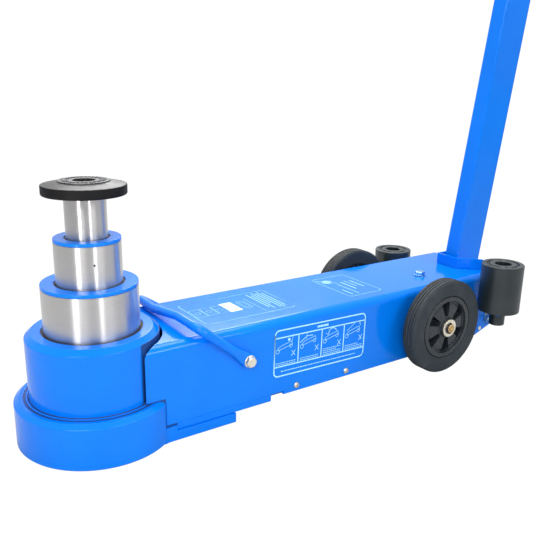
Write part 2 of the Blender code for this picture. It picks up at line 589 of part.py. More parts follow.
def make_handle_tube(mats):
    half_x, half_y = TUBE_X / 2, TUBE_Y / 2
    origin = (HANDLE_PIVOT[0], 0, HANDLE_PIVOT[1])
    corner = 3.0
    outline = []
    for cx, cy, start in ((1, 1, 0), (-1, 1, 90), (-1, -1, 180), (1, -1, 270)):
        centre = (cx * (half_x - corner), cy * (half_y - corner))
        outline += arc(centre, corner, start, start + 90, 3)
    shape = lean(prism(outline, "Z", TUBE_FOOT, TUBE_LENGTH))
    tube = add_object("handle_tube", shape, mats["blue"], origin)
    inside_x, inside_y = half_x - TUBE_WALL, half_y - TUBE_WALL
    hollow = box((-inside_x, inside_x), (-inside_y, inside_y), (TUBE_FOOT - 20, TUBE_LENGTH + 20))
    cut(tube, lean(hollow), "hollow")
    cut(tube, lean(disc(6.0 + GAP, -40, 40, SMALL, Y_AXIS)), "pivot_bore")
    cut(tube, lean(disc(CROSSBAR_R + GAP, -40, 40, SMALL, Y_AXIS, (0, 0, CROSSBAR_AT))), "crossbar_bore")


def make_pivot(mats):
    """Long bolt that the handle turns on, its two spacer tubes and its nut."""
    px, pz = HANDLE_PIVOT
    centre = (px, 0, pz)
    shank = disc(6.0, -(BODY_Y + 12), BODY_Y + 3, SMALL, Y_AXIS, centre)
    bolt = add_object("pivot_bolt", shank, mats["zinc"], (px, 0, pz))
    join(bolt, hexagon(18.0, BODY_Y + GAP, BODY_Y + 8, Y_AXIS, centre), "head")
    nut = hexagon(18.0, BODY_Y + GAP, BODY_Y + 9.5, (0, -1, 0), centre)
    nut_obj = add_object("pivot_nut", nut, mats["zinc"], (px, -BODY_Y, pz))
    cut(nut_obj, disc(6.0 + GAP, BODY_Y - 5, BODY_Y + 20, SMALL, (0, -1, 0), centre), "thread")
    for side in (-1, 1):
        spacer = ring(6.0 + GAP, 10.0, TUBE_Y / 2 + GAP, BODY_Y - BODY_T - GAP, SMALL, (0, side, 0), centre)
        add_object(f"pivot_spacer_{side_names(side)}", spacer, mats["iron"], (px, side * TUBE_Y / 2, pz))


def make_crossbar(mats):
    origin = on_handle(CROSSBAR_AT)
    bore_r = CROSSBAR_R - 2.5
    bar = ring(bore_r, CROSSBAR_R, -CROSSBAR_HALF, CROSSBAR_HALF, SMALL, Y_AXIS, (0, 0, CROSSBAR_AT))
    add_object("crossbar", lean(bar), mats["blue"], origin)
    for side in (-1, 1):
        make_grip(side, mats)


def make_grip(side, mats):
    """Rubber sleeve that is closed over one end of the crossbar."""
    low, high = CROSSBAR_HALF - GRIP_LENGTH, CROSSBAR_HALF + 4
    inner, closed = CROSSBAR_R + GAP, CROSSBAR_HALF + GAP
    flange_r = GRIP_R + 3.5
    profile = [(0, high), (GRIP_R - 3, high), (GRIP_R, high - 3), (GRIP_R, low + 4), (flange_r, low + 3),
               (flange_r, low), (inner, low), (inner, closed), (0, closed)]
    grip = lean(turned(profile, SMALL, (0, side, 0), (0, 0, CROSSBAR_AT)))
    origin = on_handle(CROSSBAR_AT, 0, side * low)
    add_object(f"grip_{side_names(side)}", grip, mats["rubber"], origin)


def make_control_valve(mats):
    """Air valve behind the tube, with its air inlet."""
    back = TUBE_X / 2 + GAP
    block = box((back, back + VALVE_DEEP), (-VALVE_HALF_Y, VALVE_HALF_Y),
                (VALVE_AT - VALVE_HALF_Z, VALVE_AT + VALVE_HALF_Z))
    valve = add_object("control_valve", lean(block), mats["iron"], on_handle(VALVE_AT, back))
    bevel = valve.modifiers.new("soft_edges", "BEVEL")
    bevel.width = 1.5 * MM
    bevel.segments = 1
    slot = box((back + 12, back + VALVE_DEEP + 5), (-LEVER_SLOT_HALF, LEVER_SLOT_HALF),
               (VALVE_AT + 10, VALVE_AT + VALVE_HALF_Z + 5))
    cut(valve, lean(slot), "lever_slot")
    inlet_at = (back + 16, 0, VALVE_AT)
    cut(valve, lean(disc(6.0 + GAP, -60, -20, TINY, Z_AXIS, inlet_at)), "inlet_bore")
    release_at = (back + 24, 0, VALVE_AT - 12)
    cut(valve, lean(disc(RELEASE_R + 2 * GAP, 8, 30, TINY, Y_AXIS, release_at)), "release_bore")
    pin_at = (back + 27, 0, VALVE_AT + 22)
    cut(valve, lean(disc(LEVER_PIN_R + GAP, -30, 30, TINY, Y_AXIS, pin_at)), "pin_bore")

    low = -VALVE_HALF_Z - GAP
    nipple = [(0, -58), (5.2, -58), (6.4, -55), (4.6, -50), (4.6, -46), (8.5, -46), (8.5, low), (6.0, low),
              (6.0, -24), (0, -24)]
    add_object("air_inlet", lean(turned(nipple, TINY, Z_AXIS, inlet_at)), mats["brass"],
               on_handle(VALVE_AT - VALVE_HALF_Z, back + 16))
    make_lift_lever(back, pin_at, mats)
    make_release_lever(release_at, mats)


def make_lift_lever(back, pin_at, mats):
    """Cranked lever in the valve's slot, and the pin it turns on."""
    pin = disc(LEVER_PIN_R, -VALVE_HALF_Y - 1.5, VALVE_HALF_Y + 1.5, TINY, Y_AXIS, pin_at)
    origin = on_handle(pin_at[2], pin_at[0])
    add_object("lever_pin", lean(pin), mats["zinc"], origin)
    reach = [(20, 16), (32, 16), (47, 30), (92, 44), (91, 49), (43, 36), (30, 28), (20, 28)]
    outline = [(back + x, VALVE_AT + z) for x, z in reach]
    half = LEVER_SLOT_HALF - 2 * GAP
    lever = add_object("lift_lever", lean(prism(outline, "Y", -half, half)), mats["zinc"], origin)
    cut(lever, lean(disc(LEVER_PIN_R + GAP, -30, 30, TINY, Y_AXIS, pin_at)), "pin_bore")


def make_release_lever(release_at, mats):
    """Flat lowering lever on a stem in the valve's far side."""
    x, _, z = release_at
    stem = disc(RELEASE_R, 9, VALVE_HALF_Y + 9, TINY, Y_AXIS, release_at)
    release = add_object("release_lever", lean(stem), mats["zinc"], on_handle(z, x, VALVE_HALF_Y))
    arm = [(x - 7, z + 7), (x + 7, z + 7), (x + 14, z - 50), (x + 4, z - 50)]
    join(release, lean(prism(arm, "Y", VALVE_HALF_Y + 1, VALVE_HALF_Y + 6)), "arm")


# ---------------------------------------------------------------- adapters


def make_adapters(mats):
    for name, side in (("adapter_tall", -1), ("adapter_short", 1)):
        low, high = ADAPTER_SEAT_Z, ADAPTER_SEAT_Z + ADAPTER_HEIGHTS[name]
        end = low - SPIGOT_LENGTH
        hole, groove = SADDLE_HOLE_R, 20.0
        profile = [(0, end), (SPIGOT_R - 1, end), (SPIGOT_R, end + 1), (SPIGOT_R, low),
                   (ADAPTER_R - 1.2, low), (ADAPTER_R, low + 1.2), (ADAPTER_R, high - 1.2),
                   (ADAPTER_R - 1.2, high), (groove + 3.5, high), (groove + 2.5, high - 1.8),
                   (groove, high - 1.8), (groove - 1, high), (hole, high), (hole, high - 30),
                   (0, high - 30)]
        centre = (ADAPTER_X, side * ADAPTER_Y, 0)
        add_object(name, turned(profile, MEDIUM, Z_AXIS, centre), mats["oxide"], (*centre[:2], low))
        make_adapter_bracket(side, mats)


def make_adapter_bracket(side, mats):
    """Angle bracket on the skirt with a hole that the adapter's spigot drops into."""
    top, reach = ADAPTER_SEAT_Z - GAP, ADAPTER_Y + 17
    near = BODY_Y + GAP
    section = [(near, top), (reach, top), (reach, top - BRACKET_T), (near + BRACKET_T, top - BRACKET_T),
               (near + BRACKET_T, top - BRACKET_DROP), (near, top - BRACKET_DROP)]
    section = [(side * y, z) for y, z in section]
    start = ADAPTER_X - BRACKET_WIDTH / 2
    place = (ADAPTER_X, side * BODY_Y, top)
    shape = prism(section, "X", start, start + BRACKET_WIDTH)
    bracket = add_object(f"adapter_bracket_{side_names(side)}", shape, mats["blue"], place)
    bore = disc(SPIGOT_R + 0.5, top - 20, top + 20, SMALL, Z_AXIS, (ADAPTER_X, side * ADAPTER_Y, 0))
    cut(bracket, bore, "spigot_hole")


# ---------------------------------------------------------------- pump, air motor and tank


def make_pump(mats):
    """Pump block on the foot's tongue, with the plunger's bore and the oil port."""
    pump = add_object("pump_block", box(PUMP_X, (-PUMP_Y, PUMP_Y), PUMP_Z), mats["iron"])
    bore = disc(PLUNGER_R + GAP, PUMP_BORE_START, PUMP_X[1] + 10, MEDIUM, X_AXIS, (0, 0, MOTOR_Z))
    cut(pump, bore, "plunger_bore")
    port = disc(3.0, 80, 110, TINY, Z_AXIS, (PUMP_X[0] + 8, OIL_PORT_Y, 0))
    cut(pump, port, "oil_port")
    make_air_motor(mats)


def make_air_motor(mats):
    """Air cylinder behind the pump block, and the piston whose rod is the pump's plunger."""
    low, high = MOTOR_X
    wall, cap, end_cap = 3.0, 6.0, 8.0
    inside_r = MOTOR_R - wall
    profile = [(MOTOR_R, high), (MOTOR_R, low), (13, low), (13, low + cap), (inside_r, low + cap),
               (inside_r, high - end_cap), (6, high - end_cap), (6, high)]
    motor = turned(profile, MEDIUM, X_AXIS, (0, 0, MOTOR_Z))
    add_object("air_motor", motor, mats["zinc"], (low, 0, MOTOR_Z))

    tip = PUMP_BORE_START + STROKE_ROOM
    head, head_t = low + cap + STROKE_ROOM + 40, 14.0
    piston_r = inside_r - GAP
    profile = [(0, tip), (PLUNGER_R, tip), (PLUNGER_R, head), (piston_r, head), (piston_r, head + head_t),
               (0, head + head_t)]
    piston = turned(profile, MEDIUM, X_AXIS, (0, 0, MOTOR_Z))
    add_object("air_piston", piston, mats["steel"], (head, 0, MOTOR_Z))


def make_pressure_pipe(mats):
    """Short pipe from the pump block over to the port in the foot."""
    pump_x, top, bend = PUMP_X[0] + 8, 114.0, 9.0
    rise = arc((OIL_PORT_X + bend, top - bend), bend, 180, 90, 3)
    fall = arc((pump_x - bend, top - bend), bend, 80, 0, 3)
    ends = (OIL_PORT_X, VALVE_BLOCK_TOP + GAP), (pump_x, PUMP_Z[1] + GAP)
    path = [(x, OIL_PORT_Y, z) for x, z in [ends[0]] + rise + fall + [ends[1]]]
    add_object("pressure_pipe", rod(path, 4.0, 8), mats["steel"], path[0])


def make_tank(mats):
    """Oil tank above the axle, open at its filler hole."""
    wall = 2.0
    tank = add_object("oil_tank", box(TANK_X, (-TANK_Y, TANK_Y), TANK_Z), mats["iron"])
    inside = box((TANK_X[0] + wall, TANK_X[1] - wall), (-TANK_Y + wall, TANK_Y - wall),
                 (TANK_Z[0] + wall, TANK_Z[1] - wall))
    cut(tank, inside, "inside")
    mouth = disc(10.0, TANK_Z[1] - 8, TANK_Z[1] + 8, SMALL, Z_AXIS, (FILLER[0], FILLER[1], 0))
    cut(tank, mouth, "filler_mouth")


def make_release_valve(mats):
    """Lowering screw in the side of the pump block, with the lever arm that turns it."""
    place = (PUMP_X[0] + 30, 0, PUMP_Z[0] + 22)
    face = PUMP_Y + GAP
    screw = disc(6.0, face, face + 16, TINY, Y_AXIS, place)
    valve = add_object("release_valve", screw, mats["zinc"], (place[0], face, place[2]))
    arm = [(place[0] - 5, place[2] - 8), (place[0] + 5, place[2] - 8), (place[0] + 4, place[2] + 30),
           (place[0] - 4, place[2] + 30)]
    join(valve, prism(arm, "Y", face + 10, face + 14), "arm")


def main():
    clear_scene()
    mats = make_materials()
    make_foot(mats)
    make_barrel(mats)
    make_rams(mats)
    make_saddle(mats)
    make_body(mats)
    make_bottom_plates(mats)
    make_filler_plug(mats)
    make_side_screws(mats)
    make_carry_handle(mats)
    for side in (-1, 1):
        make_wheel(side, mats)
    make_axle(mats)
    make_handle_bracket(mats)
    make_handle_tube(mats)
    make_pivot(mats)
    make_crossbar(mats)
    make_control_valve(mats)
    make_adapters(mats)
    make_pump(mats)
    make_pressure_pipe(mats)
    make_tank(mats)
    make_release_valve(mats)


main()
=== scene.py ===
"""Looks of the three-stage air-hydraulic jack: finer pieces around the CAD frame, finishes, light and camera.

Meshes are drawn in millimetres in the row frame and become metres when a piece is made.
"""

import json
from math import atan2, cos, pi, radians, sin

import bmesh
import bpy
from mathutils import Matrix, Vector


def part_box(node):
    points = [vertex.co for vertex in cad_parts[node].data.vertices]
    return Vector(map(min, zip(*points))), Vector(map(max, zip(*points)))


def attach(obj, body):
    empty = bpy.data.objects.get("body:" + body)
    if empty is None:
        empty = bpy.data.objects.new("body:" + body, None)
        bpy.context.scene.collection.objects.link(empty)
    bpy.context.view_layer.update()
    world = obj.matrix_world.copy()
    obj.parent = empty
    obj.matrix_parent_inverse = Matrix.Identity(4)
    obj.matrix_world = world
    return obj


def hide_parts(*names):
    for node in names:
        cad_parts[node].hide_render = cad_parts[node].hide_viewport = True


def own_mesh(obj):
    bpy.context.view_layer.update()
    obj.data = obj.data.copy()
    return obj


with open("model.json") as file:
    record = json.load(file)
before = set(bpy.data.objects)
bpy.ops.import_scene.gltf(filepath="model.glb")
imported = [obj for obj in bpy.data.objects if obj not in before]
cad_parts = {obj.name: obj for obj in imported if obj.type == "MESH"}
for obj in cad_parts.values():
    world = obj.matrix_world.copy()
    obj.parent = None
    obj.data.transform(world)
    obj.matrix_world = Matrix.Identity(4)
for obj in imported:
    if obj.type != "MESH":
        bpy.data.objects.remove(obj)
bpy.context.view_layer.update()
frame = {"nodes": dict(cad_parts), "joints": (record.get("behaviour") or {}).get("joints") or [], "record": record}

MM = 0.001
FINE, MEDIUM, COARSE = 160, 96, 48
Y_AXIS, Z_AXIS = (0, 1, 0), (0, 0, 1)
SIDES = {"left": -1, "right": 1}


def box_mm(node):
    """Lowest and highest corner of a CAD node, in millimetres."""
    low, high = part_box(node)
    return low / MM, high / MM


def span(node, axis):
    low, high = box_mm(node)
    return low["xyz".index(axis)], high["xyz".index(axis)]


def mid_span(node, axis):
    return sum(span(node, axis)) / 2


# ---------- driving sizes, read from the frame

FOOT_R = -span("base_foot", "x")[0]
TONGUE_END = span("base_foot", "x")[1]
FOOT_TOP = span("base_foot", "z")[1]
BARREL_R = span("cylinder_barrel", "x")[1]
BARREL_TOP = span("cylinder_barrel", "z")[1]
BODY_Y = span("body_shell", "y")[1]
BODY_BOTTOM, BODY_TOP = span("body_shell", "z")
BODY_END = span("body_shell", "x")[1]
PLATE_X = span("bottom_plate", "x")
PLATE_Z = span("bottom_plate", "z")
AXLE_R = (span("axle", "z")[1] - span("axle", "z")[0]) / 2
WHEEL_X = mid_span("axle", "x")
WHEEL_Z = mid_span("axle", "z")
TYRE_R = span("tyre_left", "x")[1] - WHEEL_X
TYRE_Y = span("tyre_right", "y")
WASHER_Y = span("wheel_washer_right", "y")
CLIP_Y = span("circlip_right", "y")
ADAPTER_X = mid_span("adapter_tall", "x")
ADAPTER_Y = mid_span("adapter_short", "y")
ADAPTER_R = span("adapter_tall", "x")[1] - ADAPTER_X
SADDLE_R = span("saddle", "x")[1]
FILLER_X = mid_span("filler_plug", "x")
FILLER_Y = mid_span("filler_plug", "y")
PIVOT_X = mid_span("pivot_bolt", "x")
PIVOT_Z = mid_span("pivot_bolt", "z")
CARRY_X = mid_span("carry_bolt_left", "x")
CARRY_Z = mid_span("carry_bolt_left", "z")
HANDLE_LEAN = radians(8.2)


# ---------- mesh tools


def to_object(name, bm, material=None):
    """A bmesh in millimetres becomes an object in metres."""
    bmesh.ops.remove_doubles(bm, verts=bm.verts, dist=1e-4)
    bmesh.ops.scale(bm, verts=bm.verts, vec=(MM, MM, MM))
    bmesh.ops.recalc_face_normals(bm, faces=bm.faces)
    mesh = bpy.data.meshes.new(name)
    bm.to_mesh(mesh)
    bm.free()
    if material:
        mesh.materials.append(material)
    obj = bpy.data.objects.new(name, mesh)
    bpy.context.scene.collection.objects.link(obj)
    return obj


def bake_modifiers(obj):
    """Applies an object's modifiers to its mesh."""
    graph = bpy.context.evaluated_depsgraph_get()
    mesh = bpy.data.meshes.new_from_object(obj.evaluated_get(graph))
    obj.modifiers.clear()
    obj.data = mesh


def boolean(obj, bm, operation):
    helper = to_object("helper", bm, obj.data.materials[0])
    modifier = obj.modifiers.new("boolean", "BOOLEAN")
    modifier.operation = operation
    modifier.solver = "EXACT"
    modifier.object = helper
    bake_modifiers(obj)
    bpy.data.objects.remove(helper, do_unlink=True)


def cut(obj, *cutters):
    for bm in cutters:
        boolean(obj, bm, "DIFFERENCE")


def join(obj, *additions):
    for bm in additions:
        boolean(obj, bm, "UNION")


def soften(obj, width, segments=3, angle=32):
    """Rounds the sharp edges by `width` millimetres."""
    modifier = obj.modifiers.new("edges", "BEVEL")
    modifier.width = width * MM
    modifier.segments = segments
    modifier.limit_method = "ANGLE"
    modifier.angle_limit = radians(angle)
    modifier.use_clamp_overlap = True
    bake_modifiers(obj)


def merge(target, bm):
    """Adds one bmesh to another."""
    mesh = bpy.data.meshes.new("merge")
    bm.to_mesh(mesh)
    bm.free()
    target.from_mesh(mesh)
    bpy.data.meshes.remove(mesh)


BLUE = ("chassis", "blue_paint")
ZINC_PLATED = ("chassis", "zinc_plate")


def place(obj, body, slot, nodes=(), sharp=38):
    """Smooths the shading, then lets the piece ride on its body for the nodes it stands for."""
    obj.data.shade_smooth()
    obj.data.set_sharp_from_angle(angle=radians(sharp))
    weighted = obj.modifiers.new("normals", "WEIGHTED_NORMAL")
    weighted.keep_sharp = True
    bake_modifiers(obj)
    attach(obj, body)
    if nodes:
        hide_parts(*nodes)
    return obj


def piece(name, shape, material, body, slot, nodes=(), sharp=38):
    """Makes and places a piece whose shape needs no further cuts."""
    return place(to_object(name, shape, material), body, slot, nodes, sharp)


def turn_to(bm, axis, centre):
    turn = Vector(Z_AXIS).rotation_difference(Vector(axis)).to_matrix()
    bmesh.ops.rotate(bm, verts=bm.verts, cent=(0, 0, 0), matrix=turn)
    bmesh.ops.translate(bm, verts=bm.verts, vec=centre)
    return bm


def rounded(points, steps=4):
    """Rounds each corner given as (r, h, fillet). Corners given as (r, h) stay sharp."""
    out = []
    count = len(points)
    for i, point in enumerate(points):
        here = Vector(point[:2])
        if len(point) < 3:
            out.append(tuple(here))
            continue
        to_last = (Vector(points[i - 1][:2]) - here).normalized()
        to_next = (Vector(points[(i + 1) % count][:2]) - here).normalized()
        half = to_last.angle(to_next) / 2
        if half < radians(4) or half > radians(88):
            out.append(tuple(here))
            continue
        back = point[2] / (sin(half) / cos(half))
        centre = here + (to_last + to_next).normalized() * (point[2] / sin(half))
        first = here + to_last * back - centre
        last = here + to_next * back - centre
        sweep = first.angle_signed(last)
        start = atan2(first.y, first.x)
        for k in range(steps + 1):
            turn = start - sweep * k / steps
            out.append((centre.x + point[2] * cos(turn), centre.y + point[2] * sin(turn)))
    return out


def turned(profile, segments=FINE, axis=Z_AXIS, centre=(0, 0, 0), steps=4):
    """A turned piece. The profile is a ring of (radius, height[, fillet]), open only along the axis."""
    closed = profile[0][0] > 0
    ring = rounded(profile, steps)
    bm = bmesh.new()
    verts = [bm.verts.new((r, 0, h)) for r, h in ring]
    pairs = list(zip(verts, verts[1:]))
    if closed:
        pairs.append((verts[-1], verts[0]))
    edges = [bm.edges.new(pair) for pair in pairs]
    bmesh.ops.spin(bm, geom=verts + edges, cent=(0, 0, 0), axis=Z_AXIS, angle=2 * pi, steps=segments,
                   use_merge=True)
    bmesh.ops.remove_doubles(bm, verts=bm.verts, dist=5e-4)
    return turn_to(bm, axis, centre)


def disc(radius, low, high, segments=COARSE, axis=Z_AXIS, centre=(0, 0, 0)):
    return turned([(0, low), (radius, low), (radius, high), (0, high)], segments, axis, centre)


def block(x, y, z):
    bm = bmesh.new()
    bmesh.ops.create_cube(bm, size=1.0)
    bmesh.ops.scale(bm, verts=bm.verts, vec=(x[1] - x[0], y[1] - y[0], z[1] - z[0]))
    bmesh.ops.translate(bm, verts=bm.verts, vec=[(a + b) / 2 for a, b in (x, y, z)])
    return bm


def prism(outline, axis, low, high):
    """Extrudes an outline. It is (y, z) along X, (x, z) along Y and (x, y) along Z."""
    corner = {
        "X": lambda a, b, t: (t, a, b),
        "Y": lambda a, b, t: (a, t, b),
        "Z": lambda a, b, t: (a, b, t),
    }[axis]
    bm = bmesh.new()
    bottom = [bm.verts.new(corner(a, b, low)) for a, b in outline]
    top = [bm.verts.new(corner(a, b, high)) for a, b in outline]
    bm.faces.new(bottom)
    bm.faces.new(top)
    for i in range(len(outline)):
        j = (i + 1) % len(outline)
        bm.faces.new((bottom[i], bottom[j], top[j], top[i]))
    return bm


def arc(centre, radius, start, end, steps):
    turns = [radians(start + (end - start) * i / steps) for i in range(steps + 1)]
    return [(centre[0] + radius * cos(a), centre[1] + radius * sin(a)) for a in turns]


def sweep(path, radii, sides=24):
    """A bar along points. Each point has (across, through) radii, so the bar can flatten."""
    bm = bmesh.new()
    points = [Vector(p) for p in path]
    loops = []
    side = None
    for i, point in enumerate(points):
        before = (point - points[i - 1]).normalized() if i else None
        after = (points[i + 1] - point).normalized() if i + 1 < len(points) else None
        run = ((before or after) + (after or before)).normalized()
        side = side if side is not None else Vector((0, 1, 0)).cross(run).normalized()
        side = (side - run * side.dot(run)).normalized()
        up = run.cross(side)
        wide, thin = radii[i]
        turns = [2 * pi * k / sides for k in range(sides)]
        loops.append([bm.verts.new(point + side * cos(a) * wide + up * sin(a) * thin) for a in turns])
    for low, high in zip(loops, loops[1:]):
        for k in range(sides):
            bm.faces.new((low[k], low[(k + 1) % sides], high[(k + 1) % sides], high[k]))
    bm.faces.new(loops[0])
    bm.faces.new(loops[-1])
    return bm


def lean(bm):
    """Tips a part drawn on the upright handle back about its pivot."""
    pivot = Vector((PIVOT_X, 0, PIVOT_Z))
    bmesh.ops.translate(bm, verts=bm.verts, vec=pivot)
    bmesh.ops.rotate(bm, verts=bm.verts, cent=pivot, matrix=Matrix.Rotation(HANDLE_LEAN, 3, "Y"))
    return bm


# ---------- finishes


def set_inputs(node, **values):
    """Sets a node's sockets by name, with underscores for the spaces."""
    for socket, value in values.items():
        node.inputs[socket.replace("_", " ")].default_value = value


class Finish:
    """A Principled material that noise can tint, roughen and emboss."""

    def __init__(self, name, colour, roughness, metallic=0.0, **constants):
        self.material = bpy.data.materials.new(name)
        self.material.use_nodes = True
        self.tree = self.material.node_tree
        self.shader = self.tree.nodes["Principled BSDF"]
        self.colour = (*colour, 1.0)
        set_inputs(self.shader, Base_Color=self.colour, Roughness=roughness, Metallic=metallic, **constants)
        self.height = None

    def node(self, kind, **settings):
        made = self.tree.nodes.new(kind)
        for key, value in settings.items():
            setattr(made, key, value)
        return made

    def link(self, out, into):
        self.tree.links.new(out, into)

    def noise(self, per_metre, detail, stretch=(1, 1, 1)):
        source = self.node("ShaderNodeTexCoord")
        mapping = self.node("ShaderNodeMapping")
        texture = self.node("ShaderNodeTexNoise")
        set_inputs(mapping, Scale=stretch)
        set_inputs(texture, Scale=per_metre, Detail=detail)
        self.link(source.outputs["Object"], mapping.inputs["Vector"])
        self.link(mapping.outputs["Vector"], texture.inputs["Vector"])
        return texture.outputs["Fac"]

    def spread(self, value, **limits):
        """Maps a value between the given limits."""
        node = self.node("ShaderNodeMapRange")
        set_inputs(node, **limits)
        self.link(value, node.inputs["Value"])
        return node.outputs["Result"]

    def tinted(self, value, low, high, other):
        """Blends the base colour towards another one where the value is high."""
        mix = self.node("ShaderNodeMix", data_type="RGBA")
        share, first, second = mix.inputs[0], mix.inputs[6], mix.inputs[7]
        first.default_value = self.colour
        second.default_value = (*other, 1.0)
        self.link(self.spread(value, From_Min=low, From_Max=high), share)
        self.link(mix.outputs[2], self.shader.inputs["Base Color"])

    def roughened(self, value, low, high):
        self.link(self.spread(value, To_Min=low, To_Max=high), self.shader.inputs["Roughness"])

    def embossed(self, value, depth_mm, strength):
        bump = self.node("ShaderNodeBump")
        set_inputs(bump, Distance=depth_mm * MM, Strength=strength)
        self.link(value, bump.inputs["Height"])
        if self.height is not None:
            self.link(self.height, bump.inputs["Normal"])
        self.height = bump.outputs["Normal"]
        self.link(self.height, self.shader.inputs["Normal"])


def grained(name, colour, roughness, other, tint, rough, *bumps, metallic=0.0, **constants):
    """A finish driven by noise. Each noise is (per metre, detail) and then the two numbers it drives."""
    made = Finish(name, colour, roughness, metallic, **constants)
    made.tinted(made.noise(*tint[:2]), *tint[2:], other)
    made.roughened(made.noise(*rough[:2]), roughness + rough[2], roughness + rough[3])
    for bump in bumps:
        made.embossed(made.noise(*bump[:2]), *bump[2:])
    return made.material


def times(colour, factor):
    """The colour made lighter or darker."""
    return tuple(c * factor for c in colour)


def paint_finish():
    """Glossy azure enamel with a little orange peel and a slow drift of tone."""
    return grained("azure_enamel", (0.0002, 0.180, 0.80), 0.12, (0.0006, 0.205, 0.87), (9.0, 2.0, 0.35, 0.75),
                   (60.0, 3.0, -0.03, 0.05), (260.0, 1.0, 0.05, 0.5), (28.0, 1.0, 0.12, 0.35),
                   Specular_IOR_Level=0.26)


def steel_finish():
    """Ground and honed ram steel: fine rings round the axis stretch every highlight along it."""
    steel = Finish("ground_steel", (0.60, 0.585, 0.57), 0.30, 1.0, Anisotropic=0.9, Anisotropic_Rotation=0.25)
    tangent = steel.node("ShaderNodeTangent", direction_type="RADIAL", axis="Z")
    steel.link(tangent.outputs["Tangent"], steel.shader.inputs["Tangent"])
    rings = steel.noise(300.0, 2.0, (0.3, 0.3, 4.0))
    steel.tinted(rings, 0.4, 0.75, (0.635, 0.62, 0.605))
    steel.roughened(rings, 0.27, 0.33)
    return steel.material


def oxide_finish(name, colour, roughness, warm, specular=0.62):
    """Blackened steel: satin, with fine turning marks and a thin oily bloom."""
    return grained(name, colour, roughness, warm, (30.0, 4.0, 0.4, 0.75), (150.0, 4.0, -0.07, 0.09),
                   (900.0, 2.0, 0.02, 0.6), Specular_IOR_Level=specular)


def tyre_finish():
    """Solid rubber: matt charcoal, fine grain, a little dust."""
    return grained("tyre_rubber", (0.019, 0.028, 0.035), 0.62, (0.040, 0.048, 0.052), (36.0, 5.0, 0.52, 0.85),
                   (210.0, 4.0, -0.10, 0.12), (1100.0, 3.0, 0.05, 0.8), Specular_IOR_Level=0.4)


def moulded_finish(name, colour, roughness, grain_mm=0.03):
    """Moulded plastic or sleeve rubber with a fine grain."""
    return grained(name, colour, roughness, times(colour, 1.5), (45.0, 3.0, 0.4, 0.8),
                   (260.0, 3.0, -0.06, 0.08), (1300.0, 2.0, grain_mm, 0.7))


def metal_finish(name, colour, roughness, stain):
    """Bare or plated metal, with slow staining and a fine grain."""
    return grained(name, colour, roughness, stain, (70.0, 4.0, 0.45, 0.8), (300.0, 4.0, -0.08, 0.12),
                   (1200.0, 3.0, 0.015, 0.7), metallic=1.0)


def ink_finish(name, colour):
    """Printed ink, slightly uneven and with no grain of its own."""
    return grained(name, colour, 0.45, times(colour, 0.85), (500.0, 3.0, 0.55, 0.9),
                   (700.0, 2.0, -0.07, 0.10), Specular_IOR_Level=0.3)


PAINT = paint_finish()
STEEL = steel_finish()
OXIDE = oxide_finish("black_oxide", (0.008, 0.015, 0.018), 0.34, (0.019, 0.027, 0.029))
# The saddle's forging and its rim band take lit and shaded copies of one black finish: the rim's copy is darker
# and duller, as painted shade.
SADDLE_OXIDE = oxide_finish("phosphated_steel", (0.012, 0.011, 0.011), 0.38, (0.028, 0.022, 0.018))
SHADED_RIM_OXIDE = oxide_finish("saddle_rim_shaded_oxide", (0.006, 0.007, 0.009), 0.5, (0.014, 0.013, 0.013), 0.12)
TYRE = tyre_finish()
# Painted highlight: a pale cream finish for the lit edge of each tread groove.
TREAD_HIGHLIGHT = moulded_finish("tread_edge_highlight", (0.19, 0.165, 0.13), 0.8)
HUB = moulded_finish("hub_plastic", (0.018, 0.023, 0.028), 0.26)
# Painted shade: a dark blue finish for strips set where the gaps and grooves round the barrel, foot and body fall
# into shadow.
SHADE = moulded_finish("groove_painted_shade", (0.001, 0.045, 0.20), 0.6)
SEAL = moulded_finish("seal_rubber", (0.006, 0.006, 0.007), 0.5)
GRIP = moulded_finish("grip_rubber", (0.014, 0.014, 0.015), 0.62, 0.06)
ZINC = metal_finish("zinc_plate", (0.82, 0.80, 0.74), 0.27, (0.66, 0.60, 0.48))
CREAM_ZINC = metal_finish("passivated_zinc", (0.93, 0.88, 0.74), 0.38, (0.80, 0.70, 0.50))
BLUED_ZINC = metal_finish("blued_zinc", (0.30, 0.55, 0.80), 0.24, (0.12, 0.30, 0.50))
BRASS = metal_finish("brass", (0.62, 0.43, 0.20), 0.34, (0.40, 0.26, 0.12))
IRON = metal_finish("machined_iron", (0.24, 0.24, 0.25), 0.5, (0.12, 0.11, 0.11))
INK = ink_finish("label_ink", (0.42, 0.84, 0.93))
PALE_INK = ink_finish("top_label_ink", (0.26, 0.58, 0.92))
WHITE_INK = ink_finish("block_ink", (0.80, 0.90, 0.98))

SLOT_FINISH = {
    "blue_paint": PAINT,
    "ground_steel": STEEL,
    "black_oxide": OXIDE,
    "tyre_rubber": TYRE,
    "seal_rubber": SEAL,
    "grip_rubber": GRIP,
    "black_plastic": HUB,
    "zinc_plate": ZINC,
    "brass": BRASS,
    "cast_iron": IRON,
}


def finish_cad_nodes():
    """Gives every carried-over CAD node the finish of its material slot."""
    slots = {part["node"]: part["material_slot"] for part in frame["record"]["subparts"]}
    for name, node in frame["nodes"].items():
        node.data.materials.clear()
        node.data.materials.append(SLOT_FINISH[slots[name]])


# ---------- foot, cylinder and rams

